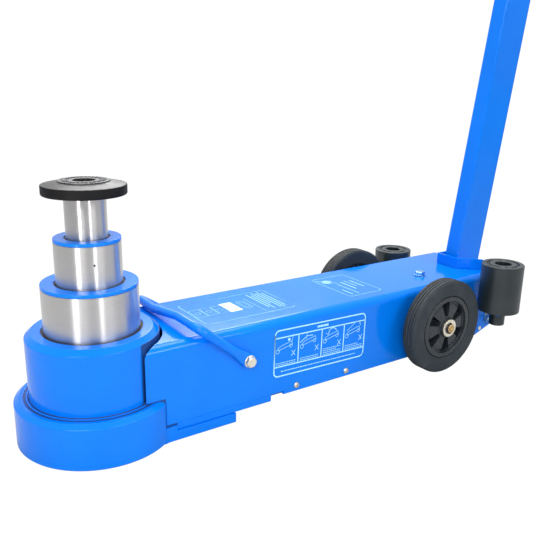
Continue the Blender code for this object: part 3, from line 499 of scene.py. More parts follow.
GAP = 0.3
FOOT_FLOOR = 18.0
TONGUE_Y, TONGUE_T = 82.0, 13.3
PAD_END, PAD_T = 75.0, 20.5
VALVE_END, VALVE_HALF, VALVE_TOP = 96.5, 66.0, 50.0
STEP_X, STEP_Z = 60.8, 60.0
FOOT_CUT = ((STEP_X - 2.2, 130), (-130, 130))
RAM_R = {"ram_1": 59.5, "ram_2": 40.7, "ram_3": 25.1}
RAM_BORE = {"ram_1": 47.0, "ram_2": 31.0, "ram_3": 17.3}
RAM_HEAD_TOP = {"ram_1": 111.7, "ram_2": 182.7, "ram_3": 241.7}
WIPER_BORE = {"wiper_1": 59.8, "wiper_2": 41.0, "wiper_3": 25.4}
GLAND_SKIRT_R = {"ram_1": 46.7, "ram_2": 30.7}
BLEED_TURN, BLEED_Z = radians(-100), 235


def tongue_outline():
    fillet = 20.0
    centre_x = ((FOOT_R + fillet) ** 2 - (TONGUE_Y + fillet) ** 2) ** 0.5
    near = arc((centre_x, -TONGUE_Y - fillet), fillet, 114, 90, 10)
    near = [(50, -TONGUE_Y + 4)] + near + [(TONGUE_END, -TONGUE_Y)]
    return near + [(x, -y) for x, y in reversed(near)]


def make_foot():
    inner, groove = BARREL_R + GAP, 90.0
    edge_z = FOOT_TOP - 5.0
    groove_z = edge_z - 14
    profile = [(0, 0), (FOOT_R - 1.5, 0), (FOOT_R, 1.5), (FOOT_R, edge_z, 1.2), (FOOT_R - 6.5, FOOT_TOP, 1.0),
               (groove, FOOT_TOP, 0.6), (groove, groove_z), (inner, groove_z), (inner, FOOT_FLOOR),
               (0, FOOT_FLOOR)]
    foot = to_object("foot_casting", turned(profile), PAINT)
    cut(foot, block(*FOOT_CUT, (PAD_T, 80)))
    join(foot, prism(tongue_outline(), "Z", 0.0, PAD_T))
    cut(foot, block((PAD_END, 200), (-130, 130), (TONGUE_T, 80)))
    join(foot, block((58, VALVE_END), (-VALVE_HALF, VALVE_HALF), (TONGUE_T - 3, VALVE_TOP)))
    cut(foot, disc(inner, FOOT_FLOOR, 90, FINE))
    soften(foot, 0.7, 2)
    place(foot, *BLUE, ["base_foot"])


def make_barrel():
    low = FOOT_FLOOR + GAP
    flat_r, wall_top = BARREL_R - 7.3, BARREL_TOP - 6.5
    lip_r, lip_z, bore = 62.8, BARREL_TOP - 8, 66.0
    profile = [(BARREL_R, low), (BARREL_R, wall_top, 1.6), (flat_r, BARREL_TOP, 1.3),
               (lip_r, BARREL_TOP, 0.7), (lip_r, lip_z), (bore, lip_z), (bore, low)]
    piece("barrel_shell", turned(profile), PAINT, *BLUE, ["cylinder_barrel"])


def hoop(inner, outer, low, high, *where):
    """A plain ring of rectangular section."""
    return turned([(inner, low), (outer, low), (outer, high), (inner, high)], *where)


def make_gap_shade():
    """Dark strips of painted shade, and one ring in the body's paint, which only show through gaps round the
    barrel, foot and body.
    """
    root, skin = BARREL_R - 1, BARREL_R + 0.5
    # Painted shade on the barrel, behind the gap beside the skirts.
    band = to_object("barrel_shade_band", hoop(root, skin, 58.0, 139.0), SHADE)
    cut(band, block((-120, 31.5), (-120, 120), (0, 200)))
    place(band, *BLUE)
    edge, low = BODY_Y - 0.8, PAD_T + 0.5
    # Painted shade in the gaps along each skirt's edges by the foot and the tongue.
    for side_name, side in SIDES.items():
        y = sorted((side * (edge - 4), side * edge))
        upright = block((STEP_X - 6, STEP_X + 3), y, (low, STEP_Z + 2))
        strips = to_object(f"skirt_shade_strip_{side_name}", upright, SHADE)
        join(strips, block((30.5, STEP_X), y, (STEP_Z - 3, STEP_Z + 3)), block((STEP_X, 79), y, (low, 25)))
        cut(strips, disc(skin, 0, 90, FINE))
        place(strips, *BLUE)
    seat_z, lip_z = FOOT_TOP - 0.5, FOOT_TOP + 1.3
    seat = turned([(root, FOOT_TOP - 5), (90.5, FOOT_TOP - 5), (90.5, seat_z, 0.2), (BARREL_R + 1.0, seat_z),
                   (BARREL_R + 0.4, lip_z, 0.3), (root, lip_z)])
    ring_low, ring_top = FOOT_TOP - 3, FOOT_TOP + 0.5
    ring = turned([(84.2, ring_low), (86.4, ring_low), (86.4, ring_top, 0.5), (84.2, ring_top, 0.5)])
    # The groove piece is painted shade for the dark ring round the barrel's foot; the inner ring keeps the body's
    # paint.
    for name, shape, material in (("foot_groove_shade", seat, SHADE), ("foot_inner_ring", ring, PAINT)):
        obj = to_object(name, shape, material)
        cut(obj, block(*FOOT_CUT, (0, 90)))
        place(obj, *BLUE)


def make_spring():
    """Return coil in three lengths, one for each ram. Each length closes up by its own ram's travel."""
    low, high = box_mm("return_spring")
    wire, coil_r, steps, coils = 1.4, 8.0, 16, 30
    last = steps * coils
    bottom, tall = low.z + wire, high.z - low.z - 2 * wire
    travels = [-joint["range_m"][0] / MM for joint in frame["joints"] if joint["name"].startswith("ram_")]
    start = 0
    for k, (body, travel) in enumerate(zip(("chassis", "ram_1", "ram_2"), travels)):
        stop = last if k == 2 else start + round(last * travel / sum(travels))
        points = []
        for i in range(start, stop + 1):
            turn = 2 * pi * i / steps
            points.append((coil_r * cos(turn), coil_r * sin(turn), bottom + tall * i / last))
        shape = sweep(points, [(wire, wire)] * len(points), 8)
        nodes = ["return_spring"] if k == 0 else []
        coil = piece(f"coil_spring_{k + 1}", shape, ZINC, body, "zinc_plate", nodes)
        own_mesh(coil)
        start = stop


def make_wiper(name, body, node):
    """Rubber lip between a ram and the gland round it, a hair below the gland's face."""
    low, high = box_mm(node)
    outer, inner, step = high.x, WIPER_BORE[node], high.z - 0.8
    profile = [(outer, low.z), (outer, step), (inner + 1.1, step), (inner + 0.4, high.z, 0.2),
               (inner, high.z - 0.2), (inner, low.z)]
    piece(name, turned(profile), SEAL, body, "seal_rubber", [node])


def make_ram(node, *cutters):
    """Ground tube with a wider piston head at its lower end."""
    low, high = box_mm(node)
    radius, bore, head_top = RAM_R[node], RAM_BORE[node], RAM_HEAD_TOP[node]
    profile = [(radius, high.z), (radius, head_top), (high.x, head_top), (high.x, low.z), (bore, low.z),
               (bore, high.z)]
    ram = to_object(node + "_ground", turned(profile), STEEL)
    cut(ram, *cutters)
    place(ram, node, "ground_steel", [node])


def make_rams():
    bleed, at = (cos(BLEED_TURN), sin(BLEED_TURN), 0), (0, 0, BLEED_Z)
    wall = RAM_R["ram_2"]
    make_ram("ram_1")
    make_ram("ram_2", disc(1.5, 30, 50, 24, bleed, at), disc(2.1, wall - 0.5, 50, 24, bleed, at))
    piece("bleed_plug", disc(1.9, 36, wall - 0.6, 24, bleed, at), SEAL, "ram_2", "seal_rubber")
    make_ram("ram_3")
    make_gland("ram_1", RAM_R["ram_2"])
    make_gland("ram_2", RAM_R["ram_3"])
    for k, body in enumerate(("chassis", "ram_1", "ram_2"), 1):
        make_wiper(f"dust_lip_{k}", body, f"wiper_{k}")


def make_gland(stage, rod_r):
    node = stage + "_gland"
    low, high = box_mm(node)
    outer, top, skirt = high.x, high.z, GLAND_SKIRT_R[stage]
    pocket, guide = rod_r + 2.6, rod_r + GAP
    profile = [(outer, top - 4.2, 0.4), (outer, top, 0.9), (pocket, top, 0.4), (pocket, top - 9),
               (guide, top - 9), (guide, low.z), (skirt, low.z), (skirt, top - 4.2)]
    piece(stage + "_gland_nut", turned(profile), PAINT, stage, "blue_paint", [node])


def make_saddle():
    """Load saddle: plain rim, conical shoulder, and a raised ring cut with radial teeth."""
    low, high = box_mm("saddle")
    top, rim, under = high.z, high.z - 5.6, low.z + 25.0
    hole, ring_r, land, root = 13.4, 30.5, top - 0.5, top - 1.4
    inset = SADDLE_R - 0.8
    profile = [(17.0, low.z), (17.0, under), (inset, under + 0.3), (inset, rim + 0.1),
               (ring_r + 0.8, top - 2.0, 0.5), (ring_r, land, 0.5), (26.5, land, 0.2), (26.0, root, 0.2),
               (19.5, root, 0.2), (19.0, land, 0.2), (hole, land, 0.8), (hole, low.z)]
    piece("saddle_forging", turned(profile), SADDLE_OXIDE, "saddle", "black_oxide", ["saddle"])
    # Rim band in the darker, duller copy of the forging's finish: painted shade on the saddle's sides.
    band = turned([(inset - 3, under), (SADDLE_R, under, 1.8), (SADDLE_R, rim, 1.2), (inset - 0.4, rim + 0.3),
                   (inset - 3, rim - 0.8)])
    piece("saddle_rim", band, SHADED_RIM_OXIDE, "saddle", "black_oxide")
    teeth = bmesh.new()
    count = 30
    for k in range(count):
        tooth = block((20.3, 25.3), (-0.55, 0.55), (land - 1.2, top - 0.1))
        turn = Matrix.Rotation(2 * pi * k / count, 3, "Z")
        bmesh.ops.rotate(tooth, verts=tooth.verts, cent=(0, 0, 0), matrix=turn)
        merge(teeth, tooth)
    crown = to_object("saddle_teeth", teeth, IRON)
    soften(crown, 0.25, 2)
    place(crown, "saddle", "black_oxide")


# ---------- body

SHEET, BEND = 5.0, 12.0
NOTCH_END, SLOPE_START = 243.0, (642.0, 40.5)
COLLAR_X = 650.0


def shell_section():
    inner_bend = BEND - SHEET
    hub_y, hub_z = BODY_Y - BEND, BODY_TOP - BEND
    wall = BODY_Y - SHEET
    outer = arc((-hub_y, hub_z), BEND, 180, 90, 14) + arc((hub_y, hub_z), BEND, 90, 0, 14)
    inner = arc((hub_y, hub_z), inner_bend, 0, 90, 14) + arc((-hub_y, hub_z), inner_bend, 90, 180, 14)
    return ([(-BODY_Y, BODY_BOTTOM)] + outer + [(BODY_Y, BODY_BOTTOM), (wall, BODY_BOTTOM)] + inner
            + [(-wall, BODY_BOTTOM)])


def cross_hole(radius, x, z):
    """Cutter for a hole right across the body."""
    return disc(radius, -100, 100, COARSE, Y_AXIS, (x, 0, z))


def make_body():
    shell = to_object("body_sheet", prism(shell_section(), "X", 20, BODY_END), PAINT)
    start, start_z = SLOPE_START
    end, wide = BODY_END + 20, (-95, 95)
    end_z = BODY_BOTTOM + (start_z - BODY_BOTTOM) * (end - start) / (BODY_END - start)
    slope = [(start, BODY_BOTTOM), (start - 30, 0), (end, 0), (end, end_z)]
    cut(shell,
        disc(BARREL_R + 4.2, -20, 170, FINE),
        block((-10, STEP_X), wide, (0, STEP_Z + 1.4)),
        block((40, NOTCH_END), wide, (0, PLATE_Z[1] + GAP)),
        prism(slope, "Y", *wide),
        block((COLLAR_X + 4.5, end), (-16, 16), (110, 150)),
        cross_hole(AXLE_R + GAP, WHEEL_X, WHEEL_Z),
        cross_hole(5.3, CARRY_X, CARRY_Z),
        cross_hole(6.3, PIVOT_X, PIVOT_Z),
        disc(8.3, 110, 150, COARSE, Z_AXIS, (FILLER_X, FILLER_Y, 0)))
    for which in ("front", "rear"):
        node = f"side_screw_{which}_left"
        cut(shell, cross_hole(2.8, mid_span(node, "x"), mid_span(node, "z")))
    soften(shell, 0.8, 3, 40)
    place(shell, *BLUE, ["body_shell"])


def make_bottom_plate():
    (start, end), edge = PLATE_X, BODY_Y - 0.2
    notch, inset = VALVE_END + 0.5, VALVE_HALF + 1.0
    outline = [(start, -edge), (end, -edge), (end, edge), (start, edge), (start, inset), (notch, inset),
               (notch, -inset), (start, -inset)]
    plate = to_object("base_plate", prism(outline, "Z", *PLATE_Z), PAINT)
    soften(plate, 0.9, 2)
    place(plate, *BLUE, ["bottom_plate"])
    low, high = box_mm("bottom_cover")
    # Painted shade: a dark block in the gap in front of the bottom cover.
    shade_block = block((end + 2, low.x - GAP), (low.y, high.y), (low.z, PLATE_Z[1]))
    piece("cover_front_shade", shade_block, SHADE, *BLUE)


def hex_head(name, across, low, high, axis, centre, material):
    """Hexagonal head whose top corners are turned off by a shallow cone."""
    radius, flat_r, top = across / 3 ** 0.5, across / 2 - 0.6, high + 0.01
    head = turned([(0, low), (radius, low), (radius, high), (0, high)], 6, axis, centre)
    cone = turned([(0, low - 1), (radius + 2, low - 1), (radius + 2, high - 2.7), (flat_r, top), (0, top)],
                  COARSE, axis, centre)
    obj = to_object(name, head, material)
    boolean(obj, cone, "INTERSECT")
    return obj


def make_filler():
    low, high = box_mm("filler_plug")
    centre = (FILLER_X, FILLER_Y, 0)
    collar = turned([(0, BODY_TOP + GAP), (9.6, BODY_TOP + GAP, 0.3), (9.6, BODY_TOP + 1.8, 0.5),
                     (0, BODY_TOP + 1.8)], COARSE, Z_AXIS, centre)
    plug = hex_head("filler_cap", 14.6, BODY_TOP + 1.6, high.z - 2.0, Z_AXIS, centre, BLUED_ZINC)
    join(plug, collar, disc(8.0, low.z, BODY_TOP + 2.2, COARSE, Z_AXIS, centre))
    cut(plug, disc(1.2, high.z - 3.5, high.z + 2, 20, Z_AXIS, centre))
    soften(plug, 0.3, 2, 25)
    place(plug, "filler_plug", "zinc_plate", ["filler_plug"])


def make_side_screws():
    """Pan-head screws with a cross recess over a brass core."""
    face = BODY_Y + GAP
    profile = [(0, face), (4.6, face), (4.6, face + 1.1, 0.5), (3.1, face + 2.7, 1.0), (0, face + 2.9)]
    for side_name, side in SIDES.items():
        for which in ("front", "rear"):
            node = f"side_screw_{which}_{side_name}"
            x, z = mid_span(node, "x"), mid_span(node, "z")
            axis, centre = (0, side, 0), (x, 0, z)
            screw = to_object(f"pan_screw_{which}_{side_name}", turned(profile, COARSE, axis, centre), ZINC)
            depth = sorted((side * (face + 1.3), side * (face + 9)))
            for half_x, half_z in ((0.6, 2.4), (2.4, 0.6)):
                cut(screw, block((x - half_x, x + half_x), depth, (z - half_z, z + half_z)))
            join(screw, disc(2.5, BODY_Y - 9, face + 0.5, 24, axis, centre))
            place(screw, *ZINC_PLATED, [node])
            core = disc(2.35, face + 0.6, face + 1.5, 24, axis, centre)
            piece(f"screw_recess_{which}_{side_name}", core, BRASS, "chassis", "brass")


REAR_HARDWARE = (("screw", 665.5, 34.1, 3.6), ("plug", 692.3, 41.4, 2.6), ("nut", 681.4, 57.6, 4.8))


def make_rear_hardware():
    """Small screw, plug and nut near the handle pivot, on both skirts."""
    face = BODY_Y + 0.05
    for side_name, side in SIDES.items():
        for label, x, z, radius in REAR_HARDWARE:
            profile = [(0, face), (radius, face), (radius, face + 1.4, 0.4), (0, face + 2.2)]
            shape = turned(profile, COARSE, (0, side, 0), (x, 0, z))
            piece(f"skirt_{label}_{side_name}", shape, CREAM_ZINC, *ZINC_PLATED)


# ---------- carrying handle

EYE_FACE = BODY_Y + 6.6
EYE_NECK = ((6, 9.2, 2.8), (12, 8.6, 3.0), (19, 7.6, 3.8), (27, 6.6, 5.2), (36, 6.2, 6.0))


def carry_leg(corner, bar_r, bend=16.0):
    """Centre line and half-axes of one leg, from its eye to the start of the crossbar."""
    eye = Vector((CARRY_X, corner.y, CARRY_Z))
    leg = (corner - eye).normalized()
    line, radii = [], []
    for reach, wide, thin in (*EYE_NECK, (50, bar_r, bar_r)):
        line.append(eye + leg * reach)
        radii.append((wide, thin))
    for i in range(13):
        turn = pi / 2 * i / 12
        line.append(corner - leg * bend * (1 - sin(turn)) + Vector((0, bend * (1 - cos(turn)), 0)))
    line.append(Vector((corner.x, -30, corner.z)))
    return line, radii + [(bar_r, bar_r)] * 14


def make_carry_handle():
    """Bent round bar that flattens into an eye at each end."""
    bar_r = 6.2
    side_y = BODY_Y + GAP + 0.5 + bar_r
    near, radii = carry_leg(Vector((105.0, -side_y, 148.0)), bar_r)
    far = carry_leg(Vector((99.0, -side_y, 141.5)), bar_r)[0]
    far = [Vector((p.x, -p.y, p.z)) for p in reversed(far)]
    bail = to_object("carry_bail", sweep(near + far, radii + radii[::-1], 28), PAINT)
    back, eye_r, cutters = BODY_Y + 1.2, 10.6, []
    eye = [(0, back), (eye_r, back, 0.8), (eye_r, EYE_FACE, 1.4), (0, EYE_FACE)]
    low, high, hole_r, seat_r = BODY_Y - 10, BODY_Y + 20, 5.5, 10.0
    hole = [(0, low), (hole_r, low), (hole_r, EYE_FACE), (seat_r, EYE_FACE), (seat_r, high), (0, high)]
    for side in SIDES.values():
        axis, centre = (0, side, 0), (CARRY_X, 0, CARRY_Z)
        join(bail, turned(eye, MEDIUM, axis, centre))
        cutters.append(turned(hole, COARSE, axis, centre))
    cut(bail, *cutters)
    place(bail, "carry_handle", "blue_paint", ["carry_handle"])
    for side_name, side in SIDES.items():
        make_carry_bolt(side_name, side)


def make_carry_bolt(side_name, side):
    """Hexagon bolt with a flange under its head."""
    axis, centre = (0, side, 0), (CARRY_X, 0, CARRY_Z)
    name, face = f"carry_screw_{side_name}", EYE_FACE
    bolt = hex_head(name, 13.6, face + 1.4, face + 6.6, axis, centre, CREAM_ZINC)
    flange = turned([(0, face + GAP), (8.6, face + GAP, 0.3), (8.6, face + 1.2, 0.4), (7.0, face + 1.8, 0.3),
                     (0, face + 1.8)], COARSE, axis, centre)
    join(bolt, flange, disc(5.0, BODY_Y - 16, face + 2, COARSE, axis, centre))
    soften(bolt, 0.25, 2, 25)
    place(bolt, *ZINC_PLATED, [f"carry_bolt_{side_name}"])


# ---------- wheels

HUB_R, RIM_R, BOSS_R = 50.0, 43.0, 15.0
POCKETS, POCKET_TURN, POCKET_HALF = 6, 35, 13.2


def on_wheel(side):
    """Axis and centre of a wheel, to end a call that turns a piece."""
    return (0, side, 0), (WHEEL_X, 0, WHEEL_Z)


def make_tyre(side_name, side):
    """Solid tyre with three tread grooves, and a painted highlight along one edge of each groove."""
    inner, outer = TYRE_Y
    groove_w, groove_d, grooves = 1.3, 1.6, 3
    wall_r, shoulder_r, root_r = TYRE_R - 9.0, TYRE_R - 3.2, TYRE_R - groove_d
    middles = [outer - 6.6 - 5.2 * k for k in range(grooves)]
    profile = [(HUB_R + GAP, outer - 2.6), (HUB_R + 1.0, outer - 2.6, 0.3), (HUB_R + 1.9, outer - 0.5, 0.4),
               (wall_r, outer, 2.0), (shoulder_r, outer, 1.4), (TYRE_R, outer - 2.4, 1.6)]
    for y in middles:
        profile += [(TYRE_R, y + groove_w, 0.4), (root_r, y + groove_w * 0.5, 0.3),
                    (root_r, y - groove_w * 0.5, 0.3), (TYRE_R, y - groove_w, 0.4)]
    profile += [(TYRE_R, inner + 2.4, 1.6), (shoulder_r, inner, 1.4), (wall_r, inner, 2.0),
                (HUB_R + 1.9, inner + 0.5, 0.4), (HUB_R + GAP, inner + 2.6)]
    wheel = f"wheel_{side_name}"
    shape = turned(profile, FINE, *on_wheel(side))
    piece(f"tyre_ribbed_{side_name}", shape, TYRE, wheel, "tyre_rubber", [f"tyre_{side_name}"], 45)
    # Pale strips on one edge of each groove: painted highlight.
    highlights = bmesh.new()
    for y in middles:
        edge = y + groove_w
        merge(highlights, hoop(TYRE_R - 1.2, TYRE_R - 0.05, edge - 0.2, edge + 0.45, FINE, *on_wheel(side)))
    piece(f"tread_edge_highlight_{side_name}", highlights, TREAD_HIGHLIGHT, wheel, "tyre_rubber")


def make_hub(side_name, side):
    """Moulded hub: a front web with six wedge pockets between broad spokes, round a proud boss."""
    inner, outer = TYRE_Y
    back, front, rim = inner + 5, outer - 1.6, outer - 0.6
    bore, boss_face, boss_back = AXLE_R + GAP, WASHER_Y[0] - GAP, BODY_Y + 4.0
    profile = [(bore, boss_face), (BOSS_R, boss_face, 0.8), (BOSS_R + 1.2, front - 0.6, 1.2),
               (RIM_R - 7, front - 2.2, 3.0), (RIM_R - 1.2, front - 4.2, 1.5), (RIM_R, rim, 0.6),
               (HUB_R, rim, 0.8), (HUB_R, inner + 1.5), (RIM_R + 3, inner + 1.5), (RIM_R, back),
               (BOSS_R + 1, back), (BOSS_R, boss_back), (bore, boss_back)]
    hub = to_object(f"hub_spoked_{side_name}", turned(profile, FINE, *on_wheel(side), 3), HUB)
    depth = sorted((side * (inner + 9), side * (outer + 5)))
    for k in range(POCKETS):
        middle = POCKET_TURN + 360 / POCKETS * k
        low, high = middle - POCKET_HALF, middle + POCKET_HALF
        pocket = arc((WHEEL_X, WHEEL_Z), RIM_R - 1.4, low, high, 8)
        pocket += arc((WHEEL_X, WHEEL_Z), BOSS_R + 3.2, high - 2, low + 2, 4)
        cut(hub, prism(pocket, "Y", *depth))
    soften(hub, 0.35, 2, 35)
    place(hub, f"wheel_{side_name}", "black_plastic", [f"hub_{side_name}"])


def make_wheel_fixings(side_name, side):
    """Thrust washer and the circlip in the axle's groove."""
    bore, washer_r = AXLE_R + GAP, 14.2
    low, high = WASHER_Y
    washer = turned([(bore, low), (washer_r, low, 0.3), (washer_r, high, 0.5), (bore, high, 0.3)],
                    MEDIUM, *on_wheel(side))
    piece(f"thrust_washer_{side_name}", washer, CREAM_ZINC, *ZINC_PLATED,
          [f"wheel_washer_{side_name}"])
    low, high = CLIP_Y
    ring = turned([(6.6, low), (9.2, low, 0.2), (9.2, high, 0.3), (6.6, high, 0.2)], COARSE, *on_wheel(side))
    clip = to_object(f"snap_ring_{side_name}", ring, OXIDE)
    opening = sorted((side * (low - 1), side * (high + 6)))
    cut(clip, block((WHEEL_X + 2, WHEEL_X + 14), opening, (WHEEL_Z + 1.5, WHEEL_Z + 14)))
    place(clip, "chassis", "black_oxide", [f"circlip_{side_name}"])


def make_axle():
    """Axle with a clip groove and a small centre hole at each end."""
    tip = span("axle", "y")[1]
    groove, nose_r = (CLIP_Y[0] - GAP, CLIP_Y[1] + GAP), AXLE_R - 0.6
    half = [(AXLE_R, groove[0]), (6.3, groove[0]), (6.3, groove[1]), (nose_r, groove[1]),
            (nose_r, tip, 0.8), (2.0, tip, 0.3), (1.0, tip - 1.2)]
    profile = [(0, -tip + 1.2)] + [(p[0], -p[1], *p[2:]) for p in reversed(half)] + half + [(0, tip - 1.2)]
    shape = turned(profile, COARSE, *on_wheel(1))
    piece("axle_bar", shape, BRASS, "chassis", "brass", ["axle"])


# ---------- adapters


def make_adapters():
    """Turned extension pieces, each standing in its bracket."""
    for node, side in (("adapter_tall", -1), ("adapter_short", 1)):
        low, high = span(node, "z")
        seat, floor, pocket = low + 25.0, high - 2.2, high - 30
        hole, groove_in, groove_out = 13.4, 21.5, 26.5
        profile = [(0, low), (12.7, low, 1.0), (12.7, seat - 1.5), (11.9, seat - 1.2), (11.9, seat),
                   (ADAPTER_R, seat, 1.2), (ADAPTER_R, high, 1.6), (groove_out, high, 0.5),
                   (groove_out - 1.0, floor, 0.4), (groove_in + 1.0, floor, 0.4), (groove_in, high, 0.5),
                   (hole, high, 1.1), (hole, pocket), (0, pocket)]
        shape = turned(profile, FINE, Z_AXIS, (ADAPTER_X, side * ADAPTER_Y, 0))
        piece(node + "_turned", shape, OXIDE, node, "black_oxide", [node])


def make_adapter_bracket(side_name, side):
    """Angle bracket folded from sheet, with a hole that holds an adapter's stem."""
    node = f"adapter_bracket_{side_name}"
    low, high = box_mm(node)
    bend, t = 5.0, 3.0
    near, reach = BODY_Y + GAP, max(abs(low.y), abs(high.y))
    hub = (near + bend, high.z - bend)
    section = [(near, low.z), (near, hub[1])] + arc(hub, bend, 180, 90, 6)[1:]
    section += [(reach, high.z), (reach, high.z - t), (hub[0], high.z - t)]
    section += arc(hub, bend - t, 90, 180, 4)[1:] + [(near + t, low.z)]
    plate = to_object(node + "_folded", prism([(side * y, z) for y, z in section], "X", low.x, high.x), PAINT)
    cut(plate, disc(13.2, high.z - 20, high.z + 20, COARSE, Z_AXIS, (ADAPTER_X, side * ADAPTER_Y, 0)))
    soften(plate, 0.5, 2, 40)
    place(plate, *BLUE, [node])


# ---------- tow handle

TUBE_X, TUBE_Y, TUBE_WALL, TUBE_CORNER = 63.0, 28.5, 2.5, 3.2
TUBE_FOOT, TUBE_TOP = -26.0, 1010.0
CROSSBAR_AT, CROSSBAR_R, CROSSBAR_HALF = 975.0, 14.0, 170.0


def round_box(half_u, half_v, radius, steps, middle=(0, 0)):
    """Outline of a rectangle with rounded corners."""
    outline = []
    for u, v, start in ((1, 1, 0), (-1, 1, 90), (-1, -1, 180), (1, -1, 270)):
        hub = (middle[0] + u * (half_u - radius), middle[1] + v * (half_v - radius))
        outline += arc(hub, radius, start, start + 90, steps)
    return outline


def tube_outline(inset=0.0):
    return round_box(TUBE_X / 2 - inset, TUBE_Y / 2 - inset, max(TUBE_CORNER - inset, 0.8), 8)


def make_handle_tube():
    tube = to_object("handle_section", lean(prism(tube_outline(), "Z", TUBE_FOOT, TUBE_TOP)), PAINT)
    cut(tube, lean(prism(tube_outline(TUBE_WALL), "Z", TUBE_FOOT - 20, TUBE_TOP - 3)))
    cut(tube, lean(disc(6.3, -40, 40, COARSE, Y_AXIS)))
    cut(tube, lean(disc(CROSSBAR_R + GAP, -40, 40, COARSE, Y_AXIS, (0, 0, CROSSBAR_AT))))
    soften(tube, 0.4, 2, 40)
    place(tube, "handle", "blue_paint", ["handle_tube"])


def make_handle_bracket():
    """Folded collar in front of the handle. Its near wing flares out to a small ear."""
    low, high = box_mm("handle_bracket")
    near, far, end, t = -27.5, 18.5, high.x, 3.5
    back = COLLAR_X + t
    ear = [(676.0, -53.0, 1.5), (683.0, -59.5), (685.5, -57.0), (678.5, -50.5, 1.5)]
    outline = [(end, far), (COLLAR_X, far, 5.0), (COLLAR_X, near, 5.0)] + ear
    outline += [(back, near + 1.6, 1.5), (back, far - t, 1.5), (end, far - t)]
    collar = to_object("handle_collar", prism(rounded(outline, 6), "Z", low.z, high.z), PAINT)
    soften(collar, 0.5, 2, 40)
    place(collar, *BLUE, ["handle_bracket"])


def make_pivot():
    centre, right = (PIVOT_X, 0, PIVOT_Z), (0, -1, 0)
    bolt = hex_head("pivot_screw", 18.0, BODY_Y + GAP, BODY_Y + 8.0, Y_AXIS, centre, ZINC)
    join(bolt, disc(6.0, -(BODY_Y + 12), BODY_Y + 2, COARSE, Y_AXIS, centre))
    nut = hex_head("lock_nut", 18.0, BODY_Y + GAP, BODY_Y + 9.5, right, centre, CREAM_ZINC)
    cut(nut, disc(6.3, BODY_Y - 5, BODY_Y + 20, COARSE, right, centre))
    for obj, node in ((bolt, "pivot_bolt"), (nut, "pivot_nut")):
        soften(obj, 0.3, 2, 25)
        place(obj, *ZINC_PLATED, [node])


def make_crossbar():
    end, mouth_r = CROSSBAR_HALF, CROSSBAR_R - 2.5
    profile = [(mouth_r, -end), (CROSSBAR_R, -end, 0.6), (CROSSBAR_R, end, 0.6), (mouth_r, end)]
    shape = lean(turned(profile, MEDIUM, Y_AXIS, (0, 0, CROSSBAR_AT)))
    piece("crossbar_tube", shape, PAINT, "handle", "blue_paint", ["crossbar"])
    for side_name, side in SIDES.items():
        make_grip(side_name, side)


def make_grip(side_name, side):
    """Ribbed rubber sleeve with a finger flange and a closed end."""
    low, high = CROSSBAR_HALF - 118.0, CROSSBAR_HALF + 4.0
    inner, cap = CROSSBAR_R + GAP, CROSSBAR_HALF + GAP
    grip_r, valley_r, flange_r, ribs = 18.5, 17.1, 22.0, 16
    profile = [(0, high), (grip_r, high, 3.0)]
    for k in range(ribs):
        at = high - 8 - k * 6.2
        profile += [(grip_r, at, 0.6), (valley_r, at - 1.2, 0.5), (valley_r, at - 2.4, 0.5),
                    (grip_r, at - 3.6, 0.6)]
    profile += [(grip_r, low + 6, 1.0), (flange_r, low + 3.5, 1.2), (flange_r, low, 1.2), (inner, low),
                (inner, cap), (0, cap)]
    shape = lean(turned(profile, MEDIUM, (0, side, 0), (0, 0, CROSSBAR_AT), 2))
    piece(f"grip_sleeve_{side_name}", shape, GRIP, "handle", "grip_rubber", [f"grip_{side_name}"], 50)


CAD_EDGES = {"control_valve": 1.0, "lift_lever": 0.6, "release_lever": 0.6, "bottom_cover": 0.4}


def soften_cad(node, width):
    """Rounds a carried-over CAD node's edges with a modifier, so its own mesh stays as it is."""
    obj = frame["nodes"][node]
    modifier = obj.modifiers.new("edges", "BEVEL")
    modifier.width = width * MM
    modifier.segments = 2
    modifier.limit_method = "ANGLE"
    modifier.angle_limit = radians(40)


# ---------- printed labels

INK_T = 0.12


class Label:
    """Flat marks on one face of the body, drawn as thin raised ink."""

    def __init__(self, name, plane, centre, turn=0.0):
        self.name, self.plane, self.centre, self.turn = name, plane, centre, radians(turn)
        self.bm = bmesh.new()

    def spot(self, u, v):
        """Face coordinates of a point given relative to the label's centre."""
        c, s = cos(self.turn), sin(self.turn)
        return (self.centre[0] + c * u - s * v, self.centre[1] + s * u + c * v)

    def fill(self, outline):
        points = [self.spot(u, v) for u, v in outline]
        if self.plane == "side":
            shape = prism(points, "Y", -BODY_Y - INK_T, -BODY_Y - 0.02)
        else:
            shape = prism(points, "Z", BODY_TOP + 0.02, BODY_TOP + INK_T)
        merge(self.bm, shape)

    def line(self, start, end, width):
        a, b = Vector(start), Vector(end)
        along = (b - a).normalized()
        across = Vector((-along.y, along.x)) * (width / 2)
        self.fill([a + across, a - across, b - across, b + across])

    def path(self, points, width):
        for a, b in zip(points, points[1:]):
            self.line(a, b, width)

    def bar(self, low_u, high_u, low_v, high_v):
        self.fill([(low_u, low_v), (high_u, low_v), (high_u, high_v), (low_u, high_v)])

    def frame(self, half_u, half_v, radius, width, middle=(0, 0)):
        """Rounded rectangle drawn as an outline."""
        outer = round_box(half_u, half_v, max(radius, 0.4), 6, middle)
        inner = round_box(half_u - width, half_v - width, max(radius - width, 0.4), 6, middle)
        count = len(outer)
        for i in range(count):
            j = (i + 1) % count
            self.fill([outer[i], outer[j], inner[j], inner[i]])

    def words(self, start, length, height, seed, gap=0.9):
        """A row of short dashes that reads as small print without being any letters."""
        (u, v), at, k = start, 0.0, seed
        while at < length:
            k += 1
            dash = min(1.6 + 2.6 * ((k * 37) % 11) / 10, length - at)
            if dash > 0.4:
                self.bar(u + at, u + at + dash, v, v + height)
            at += dash + gap

    def done(self, material):
        piece(self.name, self.bm, material, *BLUE)


